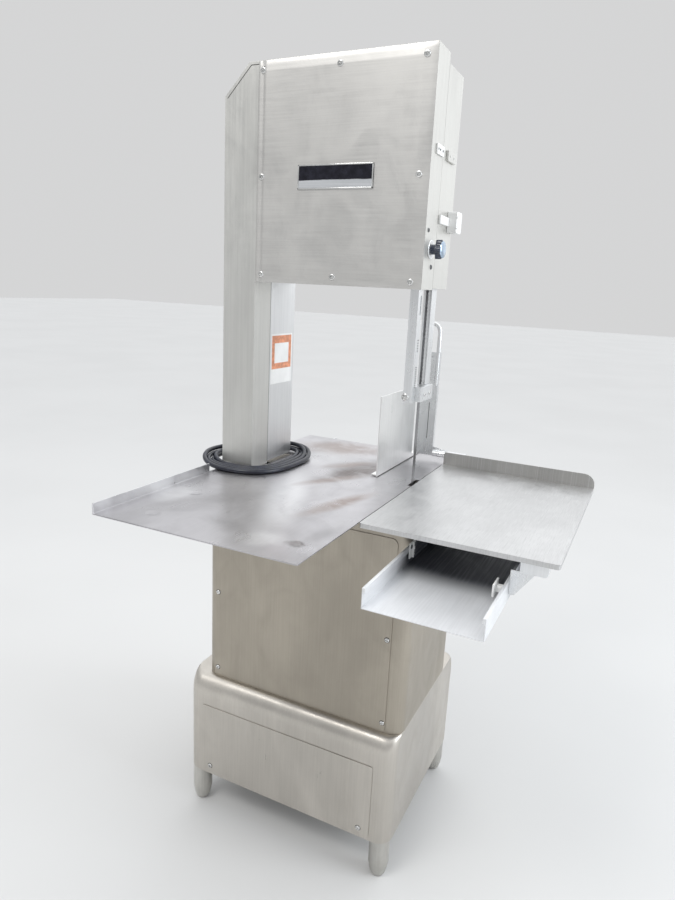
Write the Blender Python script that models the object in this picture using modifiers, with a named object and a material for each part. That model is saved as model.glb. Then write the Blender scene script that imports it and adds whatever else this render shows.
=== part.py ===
"""Floor-standing meat and bone band saw, in metres, +Z up.

The design is laid out about the centre of the lower base on the floor, and one empty moves
the whole machine so that its own origin is the middle of its footprint. The operator stands
on the +Y side, where the doors, the switch and the blade's teeth face. The plain front cover
faces -Y, and the moving table is on the +X side of the blade.
"""
import math

import bmesh
import bpy
from mathutils import Matrix, Vector

# ---- driving dimensions -------------------------------------------------------------------
GAP = 0.0003                    # clearance between pieces that touch
MACHINE_SHIFT = (-0.14925, 0.11125, 0.0)   # from the base centre to the middle of the footprint

BASE_HALF_X = 0.2805            # lower base
BASE_FRONT = -0.232
BASE_REAR = 0.233
BASE_BOTTOM = 0.102
BASE_TOP = 0.370
CORNER = 0.035                  # outer radius of the upright sheet metal corners
SHOULDER_DEPTH = 0.028          # the base rolls over from its front and rear to its top
SHOULDER_DROP = 0.048
SHOULDER_STEPS = 7

LEG_INSET = 0.0275
LEG_RADIUS = 0.024

CABINET_LEFT = -0.245           # upper cabinet, round the lower wheel
CABINET_FRONT = -0.202
CABINET_REAR = 0.146
CABINET_TOP = 0.884
WALL = 0.002

TABLE_TOP = 0.9026              # both tables
TABLE_SHEET = 0.0027
TABLE_LEFT = -0.2317
TABLE_RIGHT = 0.2075
TABLE_FRONT = -0.569
TABLE_BACK = 0.283
TABLE_FLANGE = 0.020

MOVING_LEFT = 0.2094
MOVING_RIGHT = 0.579
MOVING_FRONT = -0.336
MOVING_BACK = 0.196
MOVING_FENCE = 0.032
MOVING_LIP = 0.0095

BED_LEFT = 0.287                # channel that the moving table runs in
BED_RIGHT = 0.497
BED_FRONT = -0.487
BED_BACK = 0.190
BED_FLOOR = 0.813
BED_HEM = 0.850

COLUMN_LEFT = -0.2455           # the upper frame is the column and the wheel casing in one
COLUMN_RIGHT = -0.1614
COLUMN_REAR = 0.048
FRAME_FRONT = -0.140
SEAM = -0.070                   # where the rear covers meet the frame
HEAD_RIGHT = 0.2298
HEAD_BOTTOM = 1.3375
HEAD_TOP = 1.782
HEAD_CHAMFER = 0.0615
FRAME_WALL = 0.0025

DOOR_BOTTOM = 1.341
DOOR_TOP = 1.764
DOOR_REAR = 0.026
DOOR_WALL = 0.0015

WHEEL_RADIUS = 0.2025           # 16 inch wheels
WHEEL_FRONT = -0.043
WHEEL_REAR = -0.011
UPPER_WHEEL_Z = 1.5535
LOWER_WHEEL_Z = 0.62
AXLE_RADIUS = 0.015
BORE_CLEARANCE = 0.0003

BLADE_THICKNESS = 0.0009
BLADE_BACK = -0.029
BLADE_TEETH = -0.013

BAR_LEFT = 0.1965               # upper guide bar
BAR_RIGHT = 0.2155
BAR_FRONT = -0.110
BAR_REAR = -0.086
GUIDE_BOTTOM = 1.103
GUIDE_TOP = 1.135
BAR_TOP = 1.565
GUARD_TOP = 1.520
LOCK_Z = 1.417

MOTOR_Z = 0.235
BELT_FRONT = -0.129
BELT_REAR = -0.119
DRIVEN_RADIUS = 0.090
MOTOR_PULLEY_RADIUS = 0.045
GROOVE = 0.010

GAUGE_X = 0.1155                # right face of the gauge plate
GAUGE_ROD_Y = 0.305
GAUGE_ROD_Z = 0.885

PUSHER_LEFT = 0.118
PUSHER_RIGHT = 0.170
PUSHER_FRONT = 0.216
PUSHER_BOTTOM = 0.9155
PUSHER_TOP = 1.185
PUSHER_PIN_Y = 0.209
PUSHER_PIN_Z = 0.9245

CORD_RADIUS = 0.0055
COIL_CENTRE = (-0.2005, -0.050)
COIL_HALF_X = 0.092
COIL_HALF_Y = 0.122
COIL_RADIUS = 0.015
COIL_SQUARENESS = 2.8
PLUG_WIDTH = 0.036
PLUG_HEIGHT = 0.030
PLUG_FRONT = -0.035
PLUG_REAR = 0.020
SWITCH_X = -0.218
SWITCH_BOTTOM = 1.120
GLAND_Y = COLUMN_REAR + 0.0253
LEAD_ROUTE = (                  # from the gland down to the top of the coil
    (-0.2180, 0.0733, 1.0947),
    (-0.2180, 0.0733, 1.0600),
    (-0.2180, 0.0731, 1.0200),
    (-0.2181, 0.0728, 0.9850),
    (-0.2200, 0.0722, 0.9600),
    (-0.2250, 0.0713, 0.9470),
    (-0.2320, 0.0702, 0.9396),
)

MODEL = None
CUTTERS = None
ROOT = None


# ---- scene and modelling helpers ----------------------------------------------------------
def clear_scene():
    for item in list(bpy.data.objects):
        bpy.data.objects.remove(item, do_unlink=True)


def start_collections():
    global MODEL, CUTTERS, ROOT
    MODEL = bpy.data.collections.new("bone_saw")
    CUTTERS = bpy.data.collections.new("bone_saw_cutters")
    for group in (MODEL, CUTTERS):
        bpy.context.scene.collection.children.link(group)
    ROOT = bpy.data.objects.new("machine", None)
    ROOT.location = MACHINE_SHIFT
    MODEL.objects.link(ROOT)


def make_look(name, colour, roughness, metallic):
    material = bpy.data.materials.new(name)
    material.use_nodes = True
    shader = material.node_tree.nodes["Principled BSDF"]
    shader.inputs["Base Color"].default_value = (*colour, 1.0)
    shader.inputs["Roughness"].default_value = roughness
    shader.inputs["Metallic"].default_value = metallic
    return material


def make_looks():
    return {
        "steel": make_look("brushed_stainless", (0.62, 0.61, 0.58), 0.38, 1.0),
        "bright": make_look("bright_stainless", (0.74, 0.75, 0.76), 0.26, 1.0),
        "cast": make_look("painted_cast_iron", (0.52, 0.53, 0.52), 0.55, 0.3),
        "blade": make_look("blade_steel", (0.28, 0.28, 0.29), 0.34, 1.0),
        "black": make_look("black_plastic", (0.02, 0.022, 0.03), 0.42, 0.0),
        "white": make_look("white_plastic", (0.82, 0.82, 0.80), 0.5, 0.0),
        "rubber": make_look("black_rubber", (0.03, 0.03, 0.032), 0.7, 0.0),
        "red": make_look("red_plastic", (0.6, 0.03, 0.02), 0.4, 0.0),
        "green": make_look("green_plastic", (0.03, 0.35, 0.08), 0.4, 0.0),
        "plate": make_look("nameplate_black", (0.02, 0.02, 0.022), 0.3, 0.4),
    }


def place(name, mesh, origin, look):
    """Link a mesh as a part, or as a hidden cutter when it has no look."""
    item = bpy.data.objects.new(name, mesh)
    item.location = origin
    item.parent = ROOT
    if look is None:
        item.hide_render = True
        item.display_type = "WIRE"
        CUTTERS.objects.link(item)
    else:
        mesh.materials.append(look)
        MODEL.objects.link(item)
    return item


def smooth(mesh):
    mesh.shade_smooth()
    mesh.set_sharp_from_angle(angle=math.radians(35))


def mesh_from(work, name):
    mesh = bpy.data.meshes.new(name)
    work.normal_update()
    work.to_mesh(mesh)
    work.free()
    return mesh


def is_parallel(edge, axis):
    direction = (edge.verts[1].co - edge.verts[0].co).normalized()
    return abs(direction[axis]) > 0.999


def block(name, low, high, look, origin=None, rounds=()):
    """A box from corner to corner. Each round is (axis, radius, segments, chooser)."""
    low = Vector(low)
    high = Vector(high)
    origin = Vector(origin) if origin else (low + high) / 2
    work = bmesh.new()
    bmesh.ops.create_cube(work, size=1.0)
    size = high - low
    bmesh.ops.scale(work, vec=size, verts=work.verts)
    bmesh.ops.translate(work, vec=(low + high) / 2 - origin, verts=work.verts)
    for axis, radius, segments, chooser in rounds:
        edges = []
        for edge in work.edges:
            middle = (edge.verts[0].co + edge.verts[1].co) / 2 + origin
            if is_parallel(edge, axis) and (chooser is None or chooser(middle)):
                edges.append(edge)
        bmesh.ops.bevel(work, geom=edges, offset=radius, segments=segments, profile=0.5,
                        affect="EDGES", clamp_overlap=True)
    mesh = mesh_from(work, name)
    if rounds:
        smooth(mesh)
    return place(name, mesh, origin, look)


def cylinder(name, start, end, radius, look, sides=24, origin=None):
    """A round bar between two points."""
    start = Vector(start)
    end = Vector(end)
    origin = Vector(origin) if origin else (start + end) / 2
    along = end - start
    work = bmesh.new()
    bmesh.ops.create_cone(work, cap_ends=True, cap_tris=False, segments=sides, radius1=radius,
                          radius2=radius, depth=along.length)
    turn = Vector((0, 0, 1)).rotation_difference(along.normalized()).to_matrix().to_4x4()
    shift = Matrix.Translation((start + end) / 2 - origin)
    bmesh.ops.transform(work, matrix=shift @ turn, verts=work.verts)
    mesh = mesh_from(work, name)
    smooth(mesh)
    return place(name, mesh, origin, look)


def turned(name, profile, origin, axis, look, steps=48, closed=True):
    """A turned piece. The profile is (radius, height) down its outer side, top to bottom."""
    work = bmesh.new()
    points = [work.verts.new((radius, 0.0, height)) for radius, height in profile]
    for first, second in zip(points, points[1:]):
        work.edges.new((first, second))
    if closed:
        work.edges.new((points[-1], points[0]))
    mesh = mesh_from(work, name)
    item = place(name, mesh, origin, look)
    item.rotation_mode = "QUATERNION"
    item.rotation_quaternion = Vector((0, 0, 1)).rotation_difference(Vector(axis))
    screw = item.modifiers.new("turn", "SCREW")
    screw.axis = "Z"
    screw.angle = math.tau
    screw.steps = steps
    screw.render_steps = steps
    screw.use_merge_vertices = True
    screw.merge_threshold = 0.00005
    screw.use_smooth_shade = True
    return item


def outline(name, rings, low, high, axis, look, origin=None):
    """A flat outline with holes, extruded from low to high along an axis.

    The rings are lists of the two other coordinates, in the order x, y, z.
    """
    curve = bpy.data.curves.new(name, "CURVE")
    curve.dimensions = "2D"
    curve.fill_mode = "BOTH"
    curve.extrude = (high - low) / 2
    for ring in rings:
        spline = curve.splines.new("POLY")
        spline.points.add(len(ring) - 1)
        for point, (u, v) in zip(spline.points, ring):
            point.co = (u, v, 0.0, 1.0)
        spline.use_cyclic_u = True
    guide = bpy.data.objects.new(name + "_outline", curve)
    bpy.context.scene.collection.objects.link(guide)
    mesh = bpy.data.meshes.new_from_object(guide.evaluated_get(bpy.context.evaluated_depsgraph_get()))
    bpy.data.objects.remove(guide, do_unlink=True)
    bpy.data.curves.remove(curve)
    mesh.name = name
    middle = (low + high) / 2
    frames = {
        "X": Matrix(((0, 0, 1, middle), (1, 0, 0, 0), (0, 1, 0, 0), (0, 0, 0, 1))),
        "Y": Matrix(((1, 0, 0, 0), (0, 0, -1, middle), (0, 1, 0, 0), (0, 0, 0, 1))),
        "Z": Matrix(((1, 0, 0, 0), (0, 1, 0, 0), (0, 0, 1, middle), (0, 0, 0, 1))),
    }
    origin = Vector(origin) if origin else Vector((0, 0, 0))
    work = bmesh.new()
    work.from_mesh(mesh)
    bmesh.ops.remove_doubles(work, verts=work.verts, dist=0.00001)
    bmesh.ops.transform(work, matrix=Matrix.Translation(-origin) @ frames[axis], verts=work.verts)
    bmesh.ops.recalc_face_normals(work, faces=work.faces)
    work.to_mesh(mesh)
    work.free()
    return place(name, mesh, origin, look)


def combine(item, others, operation):
    for other in others:
        number = len(item.modifiers)
        modifier = item.modifiers.new(f"{operation.lower()}_{number}", "BOOLEAN")
        modifier.operation = operation
        modifier.solver = "EXACT"
        modifier.object = other
    return item


def cut(item, *cutters):
    return combine(item, cutters, "DIFFERENCE")


def join(item, *additions):
    return combine(item, additions, "UNION")


def arc(centre, radius, start, end, steps):
    """Points of an arc, angles in degrees, ends included."""
    points = []
    for number in range(steps + 1):
        angle = math.radians(start + (end - start) * number / steps)
        points.append((centre[0] + radius * math.cos(angle), centre[1] + radius * math.sin(angle)))
    return points


def rounded_rectangle(low, high, radii, steps=4):
    """Corner radii run from the lower left, counter-clockwise."""
    corners = ((low[0], low[1], 180), (high[0], low[1], 270), (high[0], high[1], 0),
               (low[0], high[1], 90))
    points = []
    for (u, v, angle), radius in zip(corners, radii):
        if radius <= 0:
            points.append((u, v))
            continue
        centre_u = u + radius if u == low[0] else u - radius
        centre_v = v + radius if v == low[1] else v - radius
        points += arc((centre_u, centre_v), radius, angle, angle + 90, steps)
    return points


def hinge(prefix, axis_x, axis_y, z_low, z_high, ear_length, looks):
    """A hinge pin with two ears on the fixed side. Returns the pin and the door's knuckles."""
    reach = 0.0062
    ear = 0.008
    pin = cylinder(prefix + "_hinge_pin", (axis_x, axis_y, z_low), (axis_x, axis_y, z_high),
                   0.003, looks["bright"], sides=16)
    additions = []
    for number, foot in enumerate((z_low, z_high - ear)):
        additions.append(cylinder(f"{prefix}_ear_round_{number}", (axis_x, axis_y, foot),
                                  (axis_x, axis_y, foot + ear), reach, None, sides=16))
        additions.append(block(f"{prefix}_ear_{number}",
                               (axis_x - reach, axis_y - ear_length, foot),
                               (axis_x + reach, axis_y, foot + ear), None))
    join(pin, *additions)
    knuckles = []
    bores = []
    length = 0.042
    for number, foot in enumerate((z_low + ear + 0.001, z_high - ear - 0.001 - length)):
        knuckles.append(cylinder(f"{prefix}_knuckle_{number}", (axis_x, axis_y, foot),
                                 (axis_x, axis_y, foot + length), reach, None, sides=16))
        knuckles.append(block(f"{prefix}_leaf_{number}", (axis_x + 0.0005, axis_y + 0.001, foot),
                              (axis_x + 0.0072, axis_y + 0.010, foot + length), None))
        bores.append(cylinder(f"{prefix}_bore_{number}", (axis_x, axis_y, foot - 0.001),
                              (axis_x, axis_y, foot + length + 0.001), 0.0034, None, sides=16))
    return knuckles, bores


# ---- base and cabinet ---------------------------------------------------------------------
def base_shape(name, inset, bottom, look):
    """The base's box: rounded upright corners, and shoulders along its front and rear top edges."""
    corners = (CORNER - inset,) * 4
    depth = SHOULDER_DEPTH - inset
    drop = SHOULDER_DROP - inset
    rings = [(0.0, bottom)]
    for step in range(SHOULDER_STEPS + 1):
        angle = math.pi / 2 * step / SHOULDER_STEPS
        rings.append((depth * (1.0 - math.cos(angle)),
                      BASE_TOP - inset - drop * (1.0 - math.sin(angle))))
    origin = Vector((0.0, (BASE_FRONT + BASE_REAR) / 2, (BASE_BOTTOM + BASE_TOP) / 2))
    work = bmesh.new()
    loops = []
    for back, height in rings:
        plan = rounded_rectangle((-BASE_HALF_X + inset, BASE_FRONT + inset + back),
                                 (BASE_HALF_X - inset, BASE_REAR - inset - back), corners, 5)
        loops.append([work.verts.new(Vector((x, y, height)) - origin) for x, y in plan])
    for lower, upper in zip(loops, loops[1:]):
        for number, vertex in enumerate(lower):
            following = (number + 1) % len(lower)
            work.faces.new((vertex, lower[following], upper[following], upper[number]))
    work.faces.new(loops[0])
    work.faces.new(loops[-1])
    bmesh.ops.connect_verts_nonplanar(work, angle_limit=0.0005, faces=work.faces)
    bmesh.ops.recalc_face_normals(work, faces=work.faces)
    mesh = mesh_from(work, name)
    smooth(mesh)
    return place(name, mesh, origin, look)


def build_lower_base(looks):
    outer = base_shape("lower_base", 0.0, BASE_BOTTOM, looks["steel"])
    inner = base_shape("lower_base_hollow", WALL + 0.0005, BASE_BOTTOM + 0.003, None)
    floor_hole = block("lower_base_floor_hole", (-0.200, -0.170, 0.090), (0.200, 0.170, 0.120), None)
    top_hole = block("lower_base_top_hole", (-0.190, -0.165, 0.350), (0.220, 0.110, 0.380), None)
    front_hole = block("lower_base_front_hole", (-0.190, BASE_FRONT - 0.010, 0.145),
                       (0.190, BASE_FRONT + 0.010, 0.275), None)
    cut(outer, inner, floor_hole, top_hole, front_hole)
    panel = [rounded_rectangle((-0.2345, 0.112), (0.2345, 0.298), (0.006,) * 4, 3)]
    outline("base_front_panel", panel, BASE_FRONT - GAP - 0.0015, BASE_FRONT - GAP, "Y",
            looks["steel"])


def build_legs(looks):
    profile = [(0.0, BASE_BOTTOM - GAP), (LEG_RADIUS, BASE_BOTTOM - GAP), (LEG_RADIUS, 0.034),
               (LEG_RADIUS - 0.0015, 0.032), (LEG_RADIUS - 0.002, 0.022), (0.019, 0.010),
               (0.0155, 0.003), (0.012, 0.0), (0.0, 0.0)]
    spots = {
        "leg_front_left": (-BASE_HALF_X + LEG_INSET, BASE_FRONT + LEG_INSET),
        "leg_front_right": (BASE_HALF_X - LEG_INSET, BASE_FRONT + LEG_INSET),
        "leg_rear_left": (-BASE_HALF_X + LEG_INSET, BASE_REAR - LEG_INSET),
        "leg_rear_right": (BASE_HALF_X - LEG_INSET, BASE_REAR - LEG_INSET),
    }
    for name, (x, y) in spots.items():
        turned(name, profile, (x, y, 0.0), (0, 0, 1), looks["steel"], steps=24, closed=False)


def build_cabinet(looks):
    low = (CABINET_LEFT, CABINET_FRONT, BASE_TOP + GAP)
    high = (BASE_HALF_X, CABINET_REAR, CABINET_TOP)
    shell = block("cabinet_shell", low, high, looks["steel"], rounds=((2, CORNER, 5, None),))
    hollow = block("cabinet_hollow", (low[0] + WALL, low[1] + WALL, low[2] - 0.010),
                   (high[0] - WALL, high[1] - WALL, high[2] - WALL), None,
                   rounds=((2, CORNER - WALL, 5, None),))
    front = block("cabinet_front_hole", (-0.185, CABINET_FRONT - 0.010, 0.420),
                  (0.210, CABINET_FRONT + 0.010, 0.790), None)
    rear = block("cabinet_rear_hole", (-0.195, CABINET_REAR - 0.010, 0.410),
                 (0.225, CABINET_REAR + 0.010, 0.830), None)
    slots = []
    for number, x in enumerate((-0.2035, 0.2035)):
        slots.append(block(f"cabinet_blade_slot_{number}", (x - 0.009, -0.042, CABINET_TOP - 0.010),
                           (x + 0.009, 0.002, CABINET_TOP + 0.010), None))
    cut(shell, hollow, front, rear, *slots)
    panel = [rounded_rectangle((-0.217, 0.376), (0.2445, 0.832), (0.004, 0.004, 0.014, 0.014), 4)]
    outline("cabinet_front_panel", panel, CABINET_FRONT - GAP - 0.0015, CABINET_FRONT - GAP, "Y",
            looks["steel"])


def build_bulkhead(looks):
    half = BASE_HALF_X - WALL - GAP
    plate = block("wheel_bulkhead", (CABINET_LEFT + WALL + GAP, -0.078, 0.400), (half, -0.072, 0.860),
                  looks["steel"])
    hole = cylinder("bulkhead_hole", (0, -0.090, LOWER_WHEEL_Z), (0, -0.060, LOWER_WHEEL_Z), 0.0453,
                    None, sides=32)
    cut(plate, hole)


def pan(name, low, high, wall, look, origin):
    """A shallow box that is open towards -Y."""
    item = block(name, low, high, look, origin=origin)
    hollow = block(name + "_hollow", (low[0] + wall, low[1] - 0.010, low[2] + wall),
                   (high[0] - wall, high[1] - wall, high[2] - wall), None)
    return cut(item, hollow)


def build_cabinet_door(looks):
    low = (-0.2145, CABINET_REAR + GAP, 0.392)
    high = (0.2450, CABINET_REAR + 0.0155, 0.850)
    axis_x = low[0] - 0.0065
    axis_y = CABINET_REAR + 0.0066
    door = pan("cabinet_door", low, high, 0.0015, looks["steel"], (axis_x, axis_y, 0.62))
    knuckles, bores = hinge("cabinet_door", axis_x, axis_y, 0.420, 0.822, 0.0062, looks)
    latch_hole = cylinder("cabinet_latch_hole", (0.222, 0.140, 0.620), (0.222, 0.180, 0.620),
                          0.0065, None, sides=16)
    join(door, *knuckles)
    cut(door, *bores, latch_hole)
    shaft = [(0.0, 0.0215), (0.012, 0.0215), (0.012, 0.0), (0.006, 0.0), (0.006, -0.006),
             (0.0, -0.006)]
    rear = high[1] + GAP
    latch = turned("cabinet_latch", shaft, (0.222, rear, 0.620), (0, 1, 0), looks["black"],
                   steps=24, closed=False)
    grip = block("cabinet_latch_grip", (0.2185, rear + 0.010, 0.592), (0.2255, rear + 0.030, 0.648),
                 None, rounds=((1, 0.003, 2, None),))
    join(latch, grip)


# ---- drive --------------------------------------------------------------------------------
def wheel(name, centre_z, looks):
    """A crowned cast wheel with a webbed disc and five holes, turning about Y."""
    middle = (WHEEL_FRONT + WHEEL_REAR) / 2
    half = (WHEEL_REAR - WHEEL_FRONT) / 2
    bore = AXLE_RADIUS + BORE_CLEARANCE
    profile = [(0.034, half + 0.004), (0.034, 0.005), (0.186, 0.004), (0.188, half),
               (WHEEL_RADIUS - 0.0006, half), (WHEEL_RADIUS, 0.0), (WHEEL_RADIUS - 0.0006, -half),
               (0.188, -half), (0.186, -0.004), (0.034, -0.005), (0.034, -half - 0.004),
               (bore, -half - 0.004), (bore, half + 0.004)]
    item = turned(name, profile, (0, middle, centre_z), (0, 1, 0), looks["cast"], steps=56)
    cutters = []
    for number in range(5):
        angle = math.tau * number / 5 + math.radians(18)
        x = 0.112 * math.cos(angle)
        z = centre_z + 0.112 * math.sin(angle)
        cutters.append(cylinder(f"{name}_window_{number}", (x, middle - 0.03, z),
                                (x, middle + 0.03, z), 0.036, None, sides=16))
    cut(item, *cutters)


def build_lower_drive(looks):
    z = LOWER_WHEEL_Z
    bore = AXLE_RADIUS + BORE_CLEARANCE
    wheel("lower_wheel", z, looks)
    cylinder("lower_axle", (0, -0.146, z), (0, -0.004, z), AXLE_RADIUS, looks["bright"], sides=32)
    housing = [(0.045, 0.0225), (0.045, 0.0095), (0.072, 0.0095), (0.072, GAP),
               (0.045, GAP), (0.045, -0.0250), (bore, -0.0250), (bore, 0.0225)]
    turned("lower_bearing_housing", housing, (0, -0.072, z), (0, 1, 0), looks["cast"], steps=32)
    pulley("driven_pulley", DRIVEN_RADIUS, bore, z, looks)
    scraper = block("wheel_scraper", (-0.016, -0.0717, 0.388), (0.016, WHEEL_REAR, 0.402),
                    looks["white"])
    lip_top = z - WHEEL_RADIUS - GAP - BLADE_THICKNESS - 0.0006
    lip = block("wheel_scraper_lip", (-0.016, WHEEL_FRONT, 0.400), (0.016, WHEEL_REAR + 0.002, lip_top),
                None)
    join(scraper, lip)


def pulley(name, radius, bore, centre_z, looks, shaft_end=None):
    """A grooved pulley about Y. Without a bore it carries its own shaft end."""
    middle = (BELT_FRONT + BELT_REAR) / 2
    half = (BELT_REAR - BELT_FRONT) / 2 + 0.0004
    edge = half + 0.005
    profile = [(radius, edge), (radius, half), (radius - GROOVE, half), (radius - GROOVE, -half),
               (radius, -half), (radius, -edge)]
    if bore:
        profile += [(bore, -edge), (bore, edge)]
        return turned(name, profile, (0, middle, centre_z), (0, 1, 0), looks["cast"], steps=40)
    end = shaft_end - middle
    profile = [(0.0, end), (0.012, end), (0.012, edge)] + profile + [(0.0, -edge)]
    return turned(name, profile, (0, middle, centre_z), (0, 1, 0), looks["cast"], steps=32,
                  closed=False)


def belt_ring(offset):
    """The belt's outline at a distance from the groove floors, counter-clockwise."""
    big = DRIVEN_RADIUS - GROOVE + GAP * 2 + offset
    small = MOTOR_PULLEY_RADIUS - GROOVE + GAP * 2 + offset
    tilt = math.degrees(math.asin((big - small) / (LOWER_WHEEL_Z - MOTOR_Z)))
    top = arc((0, LOWER_WHEEL_Z), big, -tilt, 180 + tilt, 24)
    bottom = arc((0, MOTOR_Z), small, 180 + tilt, 360 - tilt, 16)
    return top + bottom


def build_motor(looks):
    outline("v_belt", [belt_ring(0.009), belt_ring(0.0)], BELT_FRONT, BELT_REAR, "Y",
            looks["rubber"])
    pulley("motor_pulley", MOTOR_PULLEY_RADIUS, None, MOTOR_Z, looks, shaft_end=-0.0958)
    motor = cylinder("motor", (0, -0.0955, MOTOR_Z), (0, 0.160, MOTOR_Z), 0.085, looks["cast"],
                     sides=32)
    foot = block("motor_foot", (-0.060, -0.040, 0.1113), (0.060, 0.100, 0.180), None)
    box = block("motor_terminal_box", (0.060, -0.030, 0.220), (0.115, 0.060, 0.280), None)
    join(motor, foot, box)
    block("motor_mount", (-0.236, -0.060, 0.1053), (0.236, 0.120, 0.1110), looks["steel"])


# ---- upper frame and wheel casing ---------------------------------------------------------
def head_outline(left, right, bottom, top, chamfer):
    return [(left, bottom), (right, bottom), (right, top), (left + chamfer, top),
            (left, top - chamfer)]


def frame_outline(inset):
    left = COLUMN_LEFT + inset
    right = HEAD_RIGHT - inset
    top = HEAD_TOP - inset
    chamfer = HEAD_CHAMFER - inset * 0.586
    return [(left, CABINET_TOP + GAP + inset), (COLUMN_RIGHT - inset, CABINET_TOP + GAP + inset),
            (COLUMN_RIGHT - inset, HEAD_BOTTOM + inset), (right, HEAD_BOTTOM + inset), (right, top),
            (left + chamfer, top), (left, top - chamfer)]


def build_upper_frame(looks):
    frame = outline("upper_frame", [frame_outline(0.0)], FRAME_FRONT, SEAM - GAP, "Y",
                    looks["steel"])
    hollow = outline("upper_frame_hollow", [frame_outline(FRAME_WALL)], FRAME_FRONT + FRAME_WALL,
                     SEAM + 0.010, "Y", None)
    window = block("upper_frame_window", (-0.100, FRAME_FRONT - 0.010, 1.400),
                   (0.150, FRAME_FRONT + 0.010, 1.715), None)
    bar_hole = block("upper_frame_bar_hole", (BAR_LEFT - 0.001, BAR_FRONT - 0.001, HEAD_BOTTOM - 0.01),
                     (BAR_RIGHT + 0.001, BAR_REAR + 0.001, HEAD_BOTTOM + 0.010), None)
    knob_hole = cylinder("upper_frame_knob_hole", (0.220, -0.098, LOCK_Z), (0.240, -0.098, LOCK_Z),
                         0.0068, None, sides=16)
    cut(frame, hollow, window, bar_hole, knob_hole)


def build_head_cover(looks):
    low = (-0.160, HEAD_BOTTOM)
    high = (HEAD_RIGHT - 0.0005, HEAD_TOP - 0.0003)
    outline("head_front_cover", [rounded_rectangle(low, high, (0.003,) * 4, 2)],
            FRAME_FRONT - GAP - 0.002, FRAME_FRONT - GAP, "Y", looks["steel"])
    front = FRAME_FRONT - 2 * GAP - 0.002
    outline("nameplate", [rounded_rectangle((-0.0575, 1.5285), (0.1135, 1.5765), (0.002,) * 4, 2)],
            front - 0.0016, front, "Y", looks["plate"])


def build_column_cover(looks):
    low = (COLUMN_LEFT, SEAM, 0.909)
    high = (COLUMN_RIGHT, COLUMN_REAR, DOOR_BOTTOM - GAP)
    cover = block("column_rear_cover", low, high, looks["steel"],
                  rounds=((2, 0.006, 2, lambda p: p.y > 0.0),))
    hollow = block("column_cover_hollow", (low[0] + 0.0015, low[1] - 0.010, low[2] - 0.010),
                   (high[0] - 0.0015, high[1] - 0.0015, high[2] + 0.010), None,
                   rounds=((2, 0.0045, 2, lambda p: p.y > 0.0),))
    cut(cover, hollow)


def build_head_door(looks):
    outer = head_outline(COLUMN_LEFT, HEAD_RIGHT, DOOR_BOTTOM, DOOR_TOP, 0.0575)
    inner = head_outline(COLUMN_LEFT + DOOR_WALL, HEAD_RIGHT - DOOR_WALL, DOOR_BOTTOM + DOOR_WALL,
                         DOOR_TOP - DOOR_WALL, 0.0575 - DOOR_WALL * 0.586)
    axis_x = COLUMN_LEFT - 0.0065
    axis_y = SEAM + 0.006
    door = outline("head_door", [outer], SEAM, DOOR_REAR, "Y", looks["steel"],
                   origin=(axis_x, axis_y, 1.55))
    hollow = outline("head_door_hollow", [inner], SEAM - 0.010, DOOR_REAR - DOOR_WALL, "Y", None)
    notches = []
    for number, (left, right) in enumerate(((-0.226, -0.178), (0.172, 0.2255))):
        notches.append(block(f"head_door_notch_{number}", (left, SEAM - 0.010, DOOR_BOTTOM - 0.010),
                             (right, 0.010, DOOR_BOTTOM + 0.010), None))
    knuckles, bores = hinge("head_door", axis_x, axis_y, 1.365, 1.690, 0.026, looks)
    latch_hole = cylinder("head_latch_hole", (0.220, 0.012, 1.4785), (0.240, 0.012, 1.4785), 0.0045,
                          None, sides=16)
    cut(door, hollow, *notches)
    join(door, *knuckles)
    cut(door, *bores, latch_hole)


def build_head_fittings(looks):
    side = HEAD_RIGHT + GAP
    latch = cylinder("head_latch", (HEAD_RIGHT - 0.006, 0.012, 1.4785), (side + 0.010, 0.012, 1.4785),
                     0.004, looks["white"], sides=16, origin=(side, 0.012, 1.4785))
    body = block("head_latch_body", (side, -0.008, 1.457), (side + 0.020, 0.030, 1.500), None,
                 rounds=((0, 0.005, 3, None),))
    arm = block("head_latch_arm", (side, -0.066, 1.470), (side + 0.004, 0.000, 1.487), None)
    join(latch, body, arm)
    block("interlock_switch", (side, -0.115, 1.594), (side + 0.003, SEAM - 0.003, 1.613),
          looks["white"], rounds=((0, 0.002, 2, None),))
    block("interlock_magnet", (side, -0.050, 1.592), (side + 0.005, 0.000, 1.612), looks["steel"],
          rounds=((0, 0.002, 2, None),))


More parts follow.
